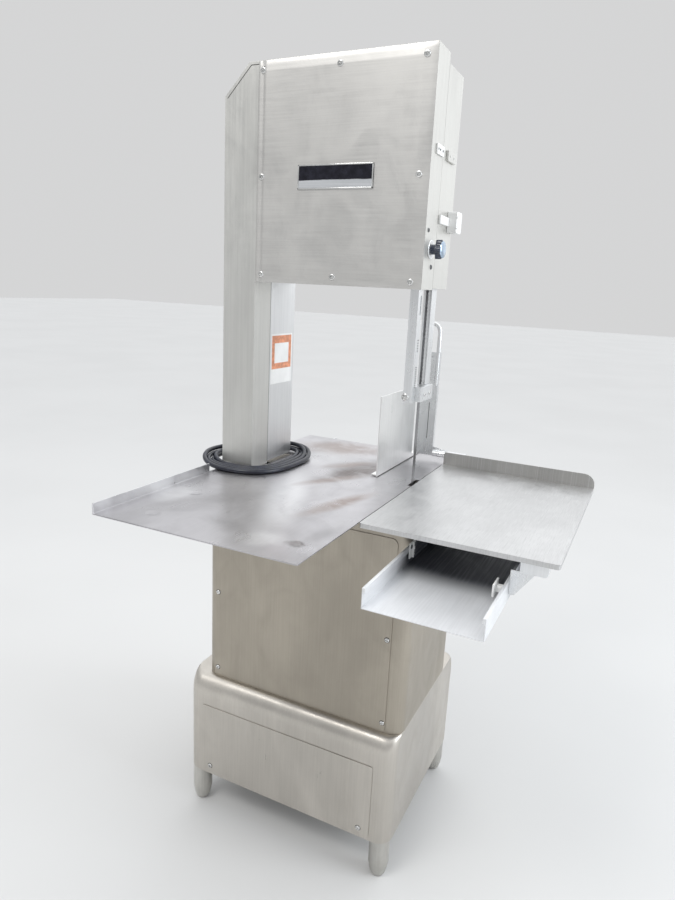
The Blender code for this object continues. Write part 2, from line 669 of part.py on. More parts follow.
def build_tension(looks):
    z = UPPER_WHEEL_Z
    wheel("upper_wheel", z, looks)
    front = FRAME_FRONT + FRAME_WALL + GAP
    guides = block("tension_guides", (-0.070, front, 1.372), (0.070, front + 0.006, 1.742),
                   looks["cast"])
    sides = []
    for number, sign in enumerate((-1, 1)):
        inner = 0.0505 * sign
        outer = 0.066 * sign
        sides.append(block(f"tension_guide_side_{number}", (min(inner, outer), front + 0.004, 1.430),
                           (max(inner, outer), -0.076, 1.690), None))
    bridge = block("tension_guide_bridge", (-0.066, front + 0.004, 1.676), (0.066, -0.076, 1.690), None)
    screw_hole = cylinder("tension_screw_hole", (0, -0.100, 1.660), (0, -0.100, 1.700), 0.0064, None,
                          sides=16)
    join(guides, *sides, bridge)
    cut(guides, screw_hole)
    slide = block("tension_slide", (-0.050, front + 0.0065, z - 0.060), (0.050, -0.076, z + 0.060),
                  looks["cast"], origin=(0, -0.027, z))
    axle = cylinder("tension_axle", (0, -0.100, z), (0, -0.004, z), AXLE_RADIUS, None, sides=32)
    collar = cylinder("tension_collar", (0, -0.080, z), (0, -0.050, z), 0.022, None, sides=24)
    screw_bore = cylinder("tension_screw_bore", (0, -0.100, z + 0.035), (0, -0.100, z + 0.070),
                          0.0064, None, sides=16)
    join(slide, axle, collar)
    cut(slide, screw_bore)
    profile = [(0.0, 1.714), (0.018, 1.714), (0.018, 1.6905), (0.006, 1.6905), (0.006, z + 0.042),
               (0.0, z + 0.042)]
    turned("tension_knob", [(radius, height - 1.70) for radius, height in profile],
           (0, -0.100, 1.70), (0, 0, 1), looks["black"], steps=16, closed=False)


# ---- blade and guides ---------------------------------------------------------------------
def band_ring(radius):
    top = arc((0, UPPER_WHEEL_Z), radius, 0, 180, 32)
    bottom = arc((0, LOWER_WHEEL_Z), radius, 180, 360, 32)
    return top + bottom


def build_blade(looks):
    inner = WHEEL_RADIUS + GAP
    outline("blade", [band_ring(inner + BLADE_THICKNESS), band_ring(inner)], BLADE_BACK, BLADE_TEETH,
            "Y", looks["blade"])
    block_low = (0.186, -0.056, 0.846)
    lower = block("lower_blade_guide", block_low, (0.222, -0.004, CABINET_TOP - WALL - GAP),
                  looks["bright"])
    slot = block("lower_guide_slot", (0.2018, -0.0305, 0.840), (0.2048, 0.000, 0.890), None)
    cut(lower, slot)


def build_upper_guide(looks):
    bar = block("guide_bar", (BAR_LEFT, BAR_FRONT, GUIDE_BOTTOM), (BAR_RIGHT, BAR_REAR, BAR_TOP),
                looks["steel"])
    groove_y = (BAR_FRONT + BAR_REAR) / 2 + 0.005
    groove = block("guide_bar_groove", (BAR_RIGHT - 0.004, groove_y - 0.003, 1.285),
                   (BAR_RIGHT + 0.010, groove_y + 0.003, 1.325), None)
    cut(bar, groove)
    guide = block("blade_guide_block", (0.188, BAR_REAR + GAP, GUIDE_BOTTOM), (0.228, -0.006, GUIDE_TOP),
                  looks["bright"], rounds=((2, 0.003, 2, None),))
    slot = block("blade_guide_slot", (0.2018, -0.0305, 1.090), (0.2048, 0.000, 1.150), None)
    cut(guide, slot)
    # The guard covers the teeth and the outer side, and leaves the wheel side open.
    section = [(0.190, -0.0055), (0.2165, -0.0055), (0.2165, -0.0350), (0.2185, -0.0350),
               (0.2185, -0.0035), (0.190, -0.0035)]
    outline("blade_guard", [section], GUIDE_TOP + GAP, GUARD_TOP, "Z", looks["bright"])
    clamp = block("guide_bar_clamp", (0.188, -0.124, 1.395), (HEAD_RIGHT - FRAME_WALL - GAP, -0.0715, 1.440),
                  looks["cast"])
    passage = block("guide_clamp_passage", (BAR_LEFT - GAP, BAR_FRONT - GAP, 1.380),
                    (BAR_RIGHT + GAP, BAR_REAR + GAP, 1.450), None)
    bore = cylinder("guide_clamp_bore", (0.210, -0.098, LOCK_Z), (0.240, -0.098, LOCK_Z), 0.0064,
                    None, sides=16)
    cut(clamp, passage, bore)


def lobed_ring(radius, lobes, depth, steps, centre):
    points = []
    for number in range(steps):
        angle = math.tau * number / steps
        reach = radius - depth * (0.5 + 0.5 * math.cos(lobes * angle))
        points.append((centre[0] + reach * math.cos(angle), centre[1] + reach * math.sin(angle)))
    return points


def build_lock_knob(looks):
    y = -0.098
    face = HEAD_RIGHT + 0.024
    knob = outline("guide_lock_knob", [lobed_ring(0.0195, 5, 0.006, 40, (y, LOCK_Z))],
                   face - 0.012, face, "X", looks["black"], origin=(face - 0.006, y, LOCK_Z))
    hub = cylinder("guide_knob_hub", (HEAD_RIGHT + GAP, y, LOCK_Z), (face - 0.010, y, LOCK_Z), 0.010,
                   None, sides=24)
    screw = cylinder("guide_knob_screw", (BAR_RIGHT + 0.0006, y, LOCK_Z), (face - 0.010, y, LOCK_Z),
                     0.006, None, sides=16)
    join(knob, hub, screw)


# ---- tables -------------------------------------------------------------------------------
def build_stationary_table(looks):
    under = TABLE_TOP - TABLE_SHEET
    notch = 0.002
    shape = [(TABLE_LEFT, TABLE_FRONT), (TABLE_RIGHT, TABLE_FRONT), (TABLE_RIGHT, -0.045),
             (0.1985, -0.045), (0.1985, 0.012), (TABLE_RIGHT, 0.012), (TABLE_RIGHT, TABLE_BACK),
             (TABLE_LEFT, TABLE_BACK), (TABLE_LEFT, COLUMN_REAR + notch),
             (COLUMN_RIGHT + notch, COLUMN_REAR + notch), (COLUMN_RIGHT + notch, FRAME_FRONT - notch),
             (TABLE_LEFT, FRAME_FRONT - notch)]
    table = outline("stationary_table", [shape], under, TABLE_TOP, "Z", looks["steel"])
    flange = block("stationary_table_flange", (TABLE_LEFT, TABLE_FRONT, under),
                   (TABLE_LEFT + 0.0025, -0.213, TABLE_TOP + TABLE_FLANGE), None)
    channels = []
    for number, x in enumerate((-0.120, 0.145)):
        channels.append(block(f"table_channel_{number}", (x, -0.480, CABINET_TOP + GAP),
                              (x + 0.035, 0.235, under + 0.0005), None))
    join(table, flange, *channels)


def build_moving_table(looks):
    under = TABLE_TOP - TABLE_SHEET
    lip = TABLE_TOP - MOVING_LIP
    shape = rounded_rectangle((MOVING_LEFT, MOVING_FRONT), (MOVING_RIGHT, MOVING_BACK),
                              (0.006, 0.006, 0.0, 0.0), 3)
    table = outline("moving_table", [shape], lip, TABLE_TOP, "Z", looks["steel"])
    hollow = block("moving_table_underside", (MOVING_LEFT + 0.0025, MOVING_FRONT + 0.0025, lip - 0.010),
                   (MOVING_RIGHT - 0.0025, MOVING_BACK + 0.010, under), None)
    fence_shape = rounded_rectangle((MOVING_LEFT, under), (MOVING_RIGHT, TABLE_TOP + MOVING_FENCE),
                                    (0.0, 0.0, 0.025, 0.006), 5)
    fence = outline("moving_table_fence", [fence_shape], MOVING_BACK - 0.0025, MOVING_BACK, "Y", None)
    cut(table, hollow)
    join(table, fence)
    for side, left in (("left", 0.300), ("right", 0.466)):
        rail = block(f"carriage_{side}", (left, -0.150, 0.886), (left + 0.018, 0.150, under - GAP),
                     looks["white"])
        legs = []
        for number, front in enumerate((-0.100, 0.045)):
            legs.append(block(f"carriage_{side}_leg_{number}", (left, front, BED_FLOOR + GAP),
                              (left + 0.018, front + 0.030, 0.890), None))
        join(rail, *legs)


def build_bed(looks):
    bottom = BED_FLOOR - WALL
    hem = 0.006
    shape = [(BED_LEFT, bottom), (BED_RIGHT, bottom), (BED_RIGHT, BED_HEM), (BED_RIGHT - hem, BED_HEM),
             (BED_RIGHT - hem, BED_HEM - 0.010), (BED_RIGHT - WALL, BED_HEM - 0.010),
             (BED_RIGHT - WALL, BED_FLOOR), (BED_LEFT + WALL, BED_FLOOR),
             (BED_LEFT + WALL, BED_HEM - 0.010), (BED_LEFT + hem, BED_HEM - 0.010),
             (BED_LEFT + hem, BED_HEM), (BED_LEFT, BED_HEM)]
    bed = outline("table_bed", [shape], BED_FRONT, BED_BACK, "Y", looks["steel"])
    spacers = []
    for number, front in enumerate((-0.150, 0.060)):
        spacers.append(block(f"bed_spacer_{number}", (BASE_HALF_X + GAP, front, 0.820),
                             (BED_LEFT + 0.001, front + 0.040, 0.842), None))
    join(bed, *spacers)
    rail = block("outer_rail", (0.513, -0.330, 0.8715), (0.561, 0.186, 0.8927), looks["bright"],
                 rounds=((1, 0.007, 3, lambda p: p.x > 0.54 and p.z < 0.88),))
    gussets = []
    for number, front in enumerate((-0.326, 0.100)):
        triangle = [(BED_RIGHT + GAP, 0.826), (BED_RIGHT + GAP + 0.010, 0.826), (0.540, 0.8725),
                    (BED_RIGHT + GAP, 0.8725)]
        gussets.append(outline(f"rail_gusset_{number}", [triangle], front, front + 0.003, "Y", None))
    join(rail, *gussets)


# ---- gauge and pusher ---------------------------------------------------------------------
def build_gauge(looks):
    left = GAUGE_X - 0.0025
    shape = [(-0.027, 0.9046), (0.2835, 0.9046), (0.2865, 0.9016), (0.2865, 0.872),
             (0.3200, 0.872), (0.3200, 0.9130), (0.212, 0.9130), (0.212, 1.095), (-0.027, 1.095)]
    plate = outline("gauge_plate", [shape], left, GAUGE_X, "X", looks["steel"])
    flange = block("gauge_flange", (0.0980, -0.020, 0.9046), (GAUGE_X - 0.001, 0.2835, 0.9071), None)
    sleeve = cylinder("gauge_sleeve", (0.090, GAUGE_ROD_Y, GAUGE_ROD_Z),
                      (0.140, GAUGE_ROD_Y, GAUGE_ROD_Z), 0.0115, None, sides=28)
    bore = cylinder("gauge_bore", (0.080, GAUGE_ROD_Y, GAUGE_ROD_Z), (0.150, GAUGE_ROD_Y, GAUGE_ROD_Z),
                    0.0064, None, sides=24)
    pocket = cylinder("gauge_lock_bore", (0.130, GAUGE_ROD_Y + 0.0040, GAUGE_ROD_Z),
                      (0.130, GAUGE_ROD_Y + 0.020, GAUGE_ROD_Z), 0.0033, None, sides=12)
    join(plate, flange, sleeve)
    cut(plate, bore, pocket)
    rod = cylinder("gauge_rod", (-0.160, GAUGE_ROD_Y, GAUGE_ROD_Z), (0.200, GAUGE_ROD_Y, GAUGE_ROD_Z),
                   0.006, looks["bright"], sides=24)
    ends = []
    for number, x in enumerate((-0.160, 0.196)):
        ends.append(block(f"gauge_rod_end_{number}", (x, 0.244, 0.874), (x + 0.004, 0.314, 0.8996), None))
    join(rod, *ends)
    knob = [(0.0, 0.030), (0.013, 0.030), (0.014, 0.018), (0.005, 0.016), (0.0048, 0.0003),
            (0.003, 0.0002), (0.003, -0.0035), (0.0, -0.0035)]
    turned("gauge_lock_knob", knob, (0.130, GAUGE_ROD_Y + 0.0115, GAUGE_ROD_Z), (0, 1, 0),
           looks["black"], steps=20, closed=False)


def build_pusher(looks):
    y = PUSHER_PIN_Y
    z = PUSHER_PIN_Z
    bracket = block("pusher_bracket", (0.2130, MOVING_BACK + GAP, 0.9045),
                    (0.2620, MOVING_BACK + 0.003, 0.9335), looks["steel"])
    boss = block("pusher_boss", (0.2130, MOVING_BACK + 0.001, z - 0.008), (0.2620, y + 0.008, z + 0.008), None)
    pin = cylinder("pusher_pin", (0.1760, y, z), (0.2200, y, z), 0.004, None, sides=20)
    join(bracket, boss, pin)
    shape = [(PUSHER_LEFT, PUSHER_BOTTOM), (0.2080, PUSHER_BOTTOM), (0.2080, 0.9335),
             (PUSHER_RIGHT, 0.9400), (PUSHER_RIGHT, PUSHER_TOP), (PUSHER_LEFT, PUSHER_TOP)]
    plate = outline("pusher_plate", [shape], PUSHER_FRONT, PUSHER_FRONT + 0.0025, "Y", looks["bright"],
                    origin=(0.160, y, z))
    knuckle = cylinder("pusher_knuckle", (0.1740, y, z), (0.2080, y, z), 0.0085, None, sides=20)
    bore = cylinder("pusher_bore", (0.1700, y, z), (0.2120, y, z), 0.0044, None, sides=20)
    rib = block("pusher_rib", (PUSHER_RIGHT - 0.0025, PUSHER_FRONT + 0.001, 0.9395),
                (PUSHER_RIGHT, PUSHER_FRONT + 0.012, PUSHER_TOP), None)
    join(plate, knuckle, rib)
    cut(plate, bore)
    build_pusher_handle(looks)


def build_pusher_handle(looks):
    middle = (PUSHER_LEFT + PUSHER_RIGHT) / 2
    reach = (PUSHER_RIGHT - PUSHER_LEFT) / 2 - 0.0055
    foot = PUSHER_TOP + GAP
    top = 1.2625 - 0.0055 - reach
    path = [(middle - reach, foot)] + arc((middle, top), reach, 180, 0, 8) + [(middle + reach, foot)]
    curve = bpy.data.curves.new("pusher_handle", "CURVE")
    curve.dimensions = "3D"
    curve.bevel_depth = 0.0055
    curve.bevel_resolution = 3
    curve.use_fill_caps = True
    spline = curve.splines.new("POLY")
    spline.points.add(len(path) - 1)
    for point, (x, z) in zip(spline.points, path):
        point.co = (x - middle, 0.0, z - foot, 1.0)
    handle = bpy.data.objects.new("pusher_handle", curve)
    handle.location = (middle, PUSHER_FRONT + 0.00125, foot)
    handle.parent = ROOT
    curve.materials.append(looks["bright"])
    MODEL.objects.link(handle)


# ---- switch and cord ----------------------------------------------------------------------
def build_switch(looks):
    rear = COLUMN_REAR + GAP
    box = block("switch_box", (SWITCH_X - 0.025, rear, SWITCH_BOTTOM),
                (SWITCH_X + 0.025, rear + 0.050, 1.260), looks["steel"],
                rounds=((2, 0.005, 2, None),))
    holes = []
    for number, z in enumerate((1.225, 1.160)):
        holes.append(cylinder(f"switch_hole_{number}", (SWITCH_X, rear + 0.038, z),
                              (SWITCH_X, rear + 0.060, z), 0.0112, None, sides=20))
    cut(box, *holes)
    buttons = (("start_button", 1.225, 0.0, "green"), ("stop_button", 1.160, 0.017, "red"))
    for name, z, radius, look in buttons:
        profile = [(0.0, 0.010), (0.0108, 0.010), (0.0108, -0.006), (0.0, -0.006)]
        if radius:
            profile = [(0.0, 0.020), (radius * 0.7, 0.0185), (radius, 0.013), (radius, 0.009),
                       (0.0108, 0.008), (0.0108, -0.006), (0.0, -0.006)]
        turned(name, profile, (SWITCH_X, rear + 0.050, z), (0, 1, 0), looks[look], steps=24,
               closed=False)


def smooth_route(route, steps):
    """Points on a Catmull-Rom curve through the points of a route."""
    ends = [Vector(point) for point in (route[0], *route, route[-1])]
    ends[0] = ends[1] * 2 - ends[2]
    ends[-1] = ends[-2] * 2 - ends[-3]
    points = []
    for before, first, second, after in zip(ends, ends[1:], ends[2:], ends[3:]):
        for number in range(steps):
            part = number / steps
            points.append(0.5 * (2 * first + (second - before) * part
                                 + (2 * before - 5 * first + 4 * second - after) * part ** 2
                                 + (3 * first - before - 3 * second + after) * part ** 3))
    points.append(ends[-2])
    return points


def coil_middle_z():
    return TABLE_TOP + 0.0006 + COIL_RADIUS


def coil_path(steps):
    """A rounded oval round the foot of the column."""
    power = 2.0 / COIL_SQUARENESS
    points = []
    for number in range(steps):
        angle = math.tau * number / steps
        x = math.copysign(abs(math.cos(angle)) ** power, math.cos(angle)) * COIL_HALF_X
        y = math.copysign(abs(math.sin(angle)) ** power, math.sin(angle)) * COIL_HALF_Y
        points.append((x + COIL_CENTRE[0], y + COIL_CENTRE[1], coil_middle_z()))
    return points


def tube(name, points, radius, cyclic, resolution, look):
    curve = bpy.data.curves.new(name, "CURVE")
    curve.dimensions = "3D"
    curve.bevel_depth = radius
    curve.bevel_resolution = resolution
    curve.use_fill_caps = True
    spline = curve.splines.new("POLY")
    spline.points.add(len(points) - 1)
    for point, place_at in zip(spline.points, points):
        point.co = (*place_at, 1.0)
    spline.use_cyclic_u = cyclic
    item = bpy.data.objects.new(name, curve)
    item.parent = ROOT
    curve.materials.append(look)
    MODEL.objects.link(item)
    return item


def build_cord(looks):
    top = SWITCH_BOTTOM - GAP
    foot = LEAD_ROUTE[0][2] + GAP
    gland = [(0.0, top), (0.011, top), (0.011, top - 0.008), (0.009, top - 0.010), (0.0065, foot),
             (0.0, foot)]
    turned("cord_gland", gland, (SWITCH_X, GLAND_Y, 0.0), (0, 0, 1), looks["black"], steps=20,
           closed=False)
    tube("power_cord", smooth_route(LEAD_ROUTE, 3), CORD_RADIUS, False, 2, looks["rubber"])
    tube("cord_coil", coil_path(36), COIL_RADIUS, True, 2, looks["rubber"])
    left = COIL_CENTRE[0] - COIL_HALF_X - PLUG_WIDTH / 2
    base = coil_middle_z() + COIL_RADIUS + GAP
    block("power_plug", (left, PLUG_FRONT, base), (left + PLUG_WIDTH, PLUG_REAR, base + PLUG_HEIGHT),
          looks["black"], rounds=((1, 0.006, 2, None),))


def main():
    clear_scene()
    start_collections()
    looks = make_looks()
    build_lower_base(looks)
    build_legs(looks)
    build_cabinet(looks)
    build_bulkhead(looks)
    build_cabinet_door(looks)
    build_lower_drive(looks)
    build_motor(looks)
    build_upper_frame(looks)
    build_head_cover(looks)
    build_column_cover(looks)
    build_head_door(looks)
    build_head_fittings(looks)
    build_tension(looks)
    build_blade(looks)
    build_upper_guide(looks)
    build_lock_knob(looks)
    build_stationary_table(looks)
    build_moving_table(looks)
    build_bed(looks)
    build_gauge(looks)
    build_pusher(looks)
    build_switch(looks)
    build_cord(looks)


main()
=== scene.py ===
"""Looks of the bone saw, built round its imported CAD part. Metres, +Z up."""

import math
import random

import bmesh
import bpy
import numpy as np
from mathutils import Matrix, Vector


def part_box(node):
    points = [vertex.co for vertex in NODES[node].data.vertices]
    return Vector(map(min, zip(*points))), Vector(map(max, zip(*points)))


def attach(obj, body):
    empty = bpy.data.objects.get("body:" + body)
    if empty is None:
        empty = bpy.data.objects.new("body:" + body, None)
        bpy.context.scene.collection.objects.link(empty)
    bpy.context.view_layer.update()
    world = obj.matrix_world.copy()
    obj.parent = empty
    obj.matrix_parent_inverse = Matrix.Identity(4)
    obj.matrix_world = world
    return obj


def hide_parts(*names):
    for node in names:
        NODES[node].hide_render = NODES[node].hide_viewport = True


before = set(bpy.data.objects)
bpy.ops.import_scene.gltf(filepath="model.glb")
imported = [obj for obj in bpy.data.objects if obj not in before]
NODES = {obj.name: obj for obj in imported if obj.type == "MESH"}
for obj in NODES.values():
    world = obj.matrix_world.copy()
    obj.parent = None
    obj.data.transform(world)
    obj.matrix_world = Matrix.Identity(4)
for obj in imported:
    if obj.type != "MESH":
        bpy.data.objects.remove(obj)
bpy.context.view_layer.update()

# The CAD is laid out about the centre of the lower base. Places below are in that layout.
BASE_FRONT = -0.232
BASE_LOW, BASE_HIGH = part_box("lower_base")
SHIFT = Vector(((BASE_LOW.x + BASE_HIGH.x) / 2, BASE_LOW.y - BASE_FRONT, 0.0))
TABLE_TOP = 0.9026
BED_FLOOR = 0.813
CORD_DIAMETER = 0.011
BEVEL_WIDTH = 0.0008
SMOOTH_ANGLE = math.radians(40)


def w(x, y, z):
    """A point of the layout, in the row frame."""
    return Vector((x, y, z)) + SHIFT


# ---- shader graphs ----
class Nodes:
    """A node tree with short ways to add nodes to it."""

    def __init__(self, tree):
        self.tree = tree

    def add(self, kind, inputs=None, **settings):
        """A new node. Each of its inputs is given as a value or as another node's output."""
        node = self.tree.nodes.new(kind)
        for name, value in settings.items():
            setattr(node, name, value)
        for name, value in (inputs or {}).items():
            self.fill(node.inputs[name], value)
        return node

    def link(self, source, target):
        self.tree.links.new(source, target)

    def fill(self, socket, value):
        if isinstance(value, bpy.types.NodeSocket):
            self.link(value, socket)
        else:
            socket.default_value = value

    def ramp(self, value, low, high, out_low=0.0, out_high=1.0):
        inputs = {"Value": value, "From Min": low, "From Max": high, "To Min": out_low,
                  "To Max": out_high}
        node = self.add("ShaderNodeMapRange", inputs, interpolation_type="SMOOTHSTEP")
        return node.outputs["Result"]

    def math(self, operation, *values):
        node = self.add("ShaderNodeMath", dict(enumerate(values)), operation=operation)
        return node.outputs[0]


class Graph(Nodes):
    """A material's nodes, round its Principled shader."""

    def __init__(self, name, roughness=0.4, metallic=0.0, **sockets):
        self.material = bpy.data.materials.new(name)
        self.material.use_nodes = True
        super().__init__(self.material.node_tree)
        self.shader = self.tree.nodes["Principled BSDF"]
        self.shader.inputs["Roughness"].default_value = roughness
        self.shader.inputs["Metallic"].default_value = metallic
        for socket, value in sockets.items():
            self.shader.inputs[socket.replace("_", " ")].default_value = value
        self.coordinates = self.add("ShaderNodeTexCoord").outputs["Object"]

    def noise(self, stretch, detail=3.0, distortion=0.0, rotation=(0, 0, 0), rough=0.5):
        place = self.add("ShaderNodeMapping", {"Vector": self.coordinates, "Scale": stretch,
                                               "Rotation": rotation})
        node = self.add("ShaderNodeTexNoise", {"Vector": place.outputs["Vector"], "Scale": 1.0,
                                               "Detail": detail, "Roughness": rough,
                                               "Distortion": distortion})
        return node.outputs["Fac"]

    def mix(self, factor, first, second, blend="MIX"):
        node = self.add("ShaderNodeMix", {"Factor": factor}, data_type="RGBA", blend_type=blend)
        for name, value in (("A", first), ("B", second)):
            socket = [s for s in node.inputs if s.name == name and s.type == "RGBA"][0]
            if isinstance(value, tuple):
                value = (*value, 1.0)
            self.fill(socket, value)
        return [s for s in node.outputs if s.type == "RGBA"][0]

    def spot(self, centre, radii, angle, soft=0.8, wander=0.45):
        """A ragged patch, 1 in the middle and 0 outside. Soft is its edge's width, as a share."""
        reach = wander * min(radii[0], radii[1])
        ragged = self.add("ShaderNodeTexNoise", {"Vector": self.coordinates, "Detail": 2.0,
                                                 "Scale": 2.2 / max(radii[0], radii[1])})
        moved = self.add("ShaderNodeVectorMath",
                         {0: ragged.outputs["Color"], 1: (reach, reach, 0.0),
                          2: self.coordinates}, operation="MULTIPLY_ADD")
        place = self.add("ShaderNodeMapping",
                         {"Vector": moved.outputs[0], "Scale": radii,
                          "Location": centre + Vector((reach / 2, reach / 2, 0.0)),
                          "Rotation": (0.0, 0.0, math.radians(angle))}, vector_type="TEXTURE")
        node = self.add("ShaderNodeTexGradient", {"Vector": place.outputs["Vector"]},
                        gradient_type="SPHERICAL")
        return self.ramp(node.outputs["Fac"], 0.0, soft)

    def colour(self, value):
        self.fill(self.shader.inputs["Base Color"], value)

    def roughness(self, value):
        self.fill(self.shader.inputs["Roughness"], value)

    def bump(self, height, distance, strength=1.0):
        node = self.add("ShaderNodeBump", {"Strength": strength, "Distance": distance,
                                           "Height": height})
        previous = self.shader.inputs["Normal"]
        if previous.is_linked:
            self.link(previous.links[0].from_socket, node.inputs["Normal"])
        self.link(node.outputs["Normal"], previous)


def shade(tone, factor, lift=0.0):
    """A tone made darker or lighter."""
    return tuple(min(1.0, channel * factor + lift) for channel in tone)


def sheet_steel(name, tone, rough=0.42, grain=(260, 260, 6), smudge=0.10, dirt=0.0,
                dirt_tone=(0.30, 0.27, 0.23), metallic=0.92, grain_depth=0.000006, seed=0.0,
                patches=(), scratches=0.0, mottle=0.0, dents=()):
    """Brushed sheet: fine grain, cloudy smudges, some dirt low down and a few scratches."""
    graph = Graph(name, rough, metallic)
    fine = graph.noise(grain, detail=2.0)
    broad = graph.noise((3.1 + seed, 2.7, 2.3), detail=4.0, distortion=0.4)
    cloud = graph.noise((13.0, 12.0 + seed, 9.0), detail=5.0, distortion=0.8, rough=0.6)
    speck = graph.noise((190.0, 170.0, 180.0), detail=2.0)
    dark = shade(tone, 1.0 - 1.6 * smudge)
    light = shade(tone, 1.0 + 0.8 * smudge)
    colour = graph.mix(graph.ramp(broad, 0.34, 0.66), dark, light)
    colour = graph.mix(graph.ramp(cloud, 0.42, 0.74, 0.0, 0.55 * min(1.0, smudge * 6)), colour, dark)
    grained = graph.ramp(fine, 0.30, 0.70, 0.965, 1.025)
    colour = graph.mix(1.0, colour, grey(graph, grained), "MULTIPLY")
    if mottle:
        pale = graph.noise((6.0, 5.0, 5.0), detail=2.5, distortion=0.9, rough=0.5)
        colour = graph.mix(graph.ramp(pale, 0.40, 0.72, 0.0, mottle), colour, shade(tone, 1.30))
    if dirt:
        grime = graph.noise((22.0, 20.0, 5.0), detail=6.0, distortion=0.6, rough=0.65)
        colour = graph.mix(graph.ramp(grime, 0.50, 0.80, 0.0, dirt), colour, dirt_tone)
    colour = graph.mix(graph.ramp(speck, 0.72, 0.82, 0.0, 0.20), colour, shade(tone, 0.70))
    # Each patch lays its tone over the sheet: stains, and in the lists below also painted reflections,
    # a painted highlight and painted shade.
    for centre, radii, angle, patch_tone, strength, *edge in patches:
        texture, least = (fine, 0.90) if edge else (cloud, 0.45)
        mask = graph.math("MULTIPLY", graph.spot(centre, radii, angle, *edge),
                          graph.ramp(texture, 0.25, 0.60, least, 1.0))
        colour = graph.mix(graph.math("MULTIPLY", mask, strength), colour, patch_tone)
    rough_value = graph.math("MULTIPLY_ADD", graph.ramp(cloud, 0.30, 0.72), 0.14, rough - 0.07)
    rough_value = graph.math("ADD", rough_value, graph.ramp(fine, 0.30, 0.70, -0.02, 0.02))
    graph.bump(fine, grain_depth)
    graph.bump(broad, 0.0005, 0.25)
    for centre, radius in dents:
        graph.bump(graph.spot(centre, (radius, radius, 0.05), 0.0, 0.6), -0.0011)
    if scratches:
        for number, (angle, density) in enumerate(((24, 620), (-31, 540), (68, 700), (-78, 660))):
            stretch = (density, 16.0 + 3 * number, 1.0)
            lines = graph.noise(stretch, detail=1.0, distortion=0.25,
                                rotation=(0.0, 0.0, math.radians(angle)))
            mask = graph.ramp(lines, 0.58, 0.70)
            colour = graph.mix(graph.math("MULTIPLY", mask, scratches), colour,
                               shade(tone, 0.80 if number % 2 else 1.16))
            graph.bump(mask, -0.000008)
    graph.colour(colour)
    graph.roughness(rough_value)
    return graph.material


def grey(graph, value):
    return graph.add("ShaderNodeCombineColor", {0: value, 1: value, 2: value}).outputs["Color"]


def plain(name, tone, rough, metallic=0.0, variation=0.14, scale=24.0, depth=0.00006, fine=420.0,
          **sockets):
    """Plastic, paint or rubber: cloudy tone, uneven gloss and a fine skin."""
    graph = Graph(name, rough, metallic, **sockets)
    cloud = graph.noise((scale, scale * 1.1, scale * 0.9), detail=5.0, distortion=0.5)
    skin = graph.noise((fine, fine * 1.1, fine), detail=2.0)
    dark = shade(tone, 1.0 - 1.5 * variation)
    light = shade(tone, 1.0 + variation, 0.004)
    colour = graph.mix(graph.ramp(cloud, 0.34, 0.66), dark, light)
    dust = graph.noise((scale * 4, scale * 3.5, scale * 4), detail=4.0, rough=0.7)
    pale = shade(tone, 1.25, 0.05)
    graph.colour(graph.mix(graph.ramp(dust, 0.60, 0.80, 0.0, 0.35), colour, pale))
    graph.roughness(graph.ramp(cloud, 0.30, 0.70, rough - 0.06, rough + 0.08))
    graph.bump(skin, depth)
    return graph.material


WARM = (0.66, 0.655, 0.63)
COOL = (0.78, 0.79, 0.80)
BROWN = (0.30, 0.235, 0.21)
DARK_BROWN = (0.150, 0.125, 0.118)
GREY = (0.36, 0.35, 0.36)
SHEEN_WHITE = (0.86, 0.86, 0.87)
NAVY = (0.030, 0.034, 0.050)


def table_patch(x, y, radius_x, radius_y, angle, tone, strength):
    return w(x, y, TABLE_TOP), (radius_x, radius_y, 0.05), angle, tone, strength


# The white patches are painted reflections on the table top; the brown and dark brown ones are stains.
TABLE_PATCHES = (
    table_patch(0.020, -0.290, 0.30, 0.060, -68, SHEEN_WHITE, 0.75),
    table_patch(-0.190, -0.380, 0.06, 0.09, 10, SHEEN_WHITE, 0.45),
    table_patch(0.100, -0.500, 0.06, 0.05, 20, SHEEN_WHITE, 0.60),
    table_patch(-0.070, 0.100, 0.08, 0.16, 10, SHEEN_WHITE, 0.40),
    table_patch(0.015, 0.039, 0.10, 0.035, 52, BROWN, 0.70),
    table_patch(0.055, -0.010, 0.18, 0.060, 72, DARK_BROWN, 1.00),
    table_patch(0.125, -0.255, 0.15, 0.030, 74, BROWN, 0.95),
    table_patch(0.034, -0.110, 0.13, 0.025, 58, BROWN, 0.70),
    table_patch(-0.080, 0.190, 0.16, 0.110, 20, BROWN, 0.75),
    table_patch(0.161, -0.495, 0.026, 0.020, 10, DARK_BROWN, 0.75),
    table_patch(-0.110, -0.400, 0.17, 0.055, 62, GREY, 0.80),
    table_patch(-0.160, -0.240, 0.10, 0.045, 70, GREY, 0.45),
    table_patch(0.010, -0.480, 0.10, 0.035, -20, GREY, 0.60),
    table_patch(0.180, -0.430, 0.10, 0.020, 80, GREY, 0.40),
    # This white patch is a painted highlight along the left flange.
    (w(-0.2317, -0.300, 0.916), (0.014, 0.60, 0.030), 0.0, SHEEN_WHITE, 0.90),    # the left flange
)

TABLE_DENTS = ((w(-0.141, -0.506, TABLE_TOP), 0.017), (w(-0.154, -0.363, TABLE_TOP), 0.016),
               (w(0.161, -0.495, TABLE_TOP), 0.019))

# Each patch is a centre, radii, turn, tone, strength, softness of its edge and its wander.
# A darker band along the moving table's rear fence: painted shade on its face.
FENCE_SHADE_PATCHES = ((w(0.392, 0.200, 0.930), (0.80, 0.018, 0.050), 0.0, (0.38, 0.37, 0.35), 0.75,
                  0.4, 0.1),)
# Dark grease over the rear of the bed's floor, which also paints the moving table's shadow there:
# painted shadow.
BED_GREASE_AND_SHADE_PATCHES = ((w(0.392, 0.300, BED_FLOOR), (0.60, 0.65, 0.12), 3.0, NAVY, 0.94, 0.12, 0.06),)

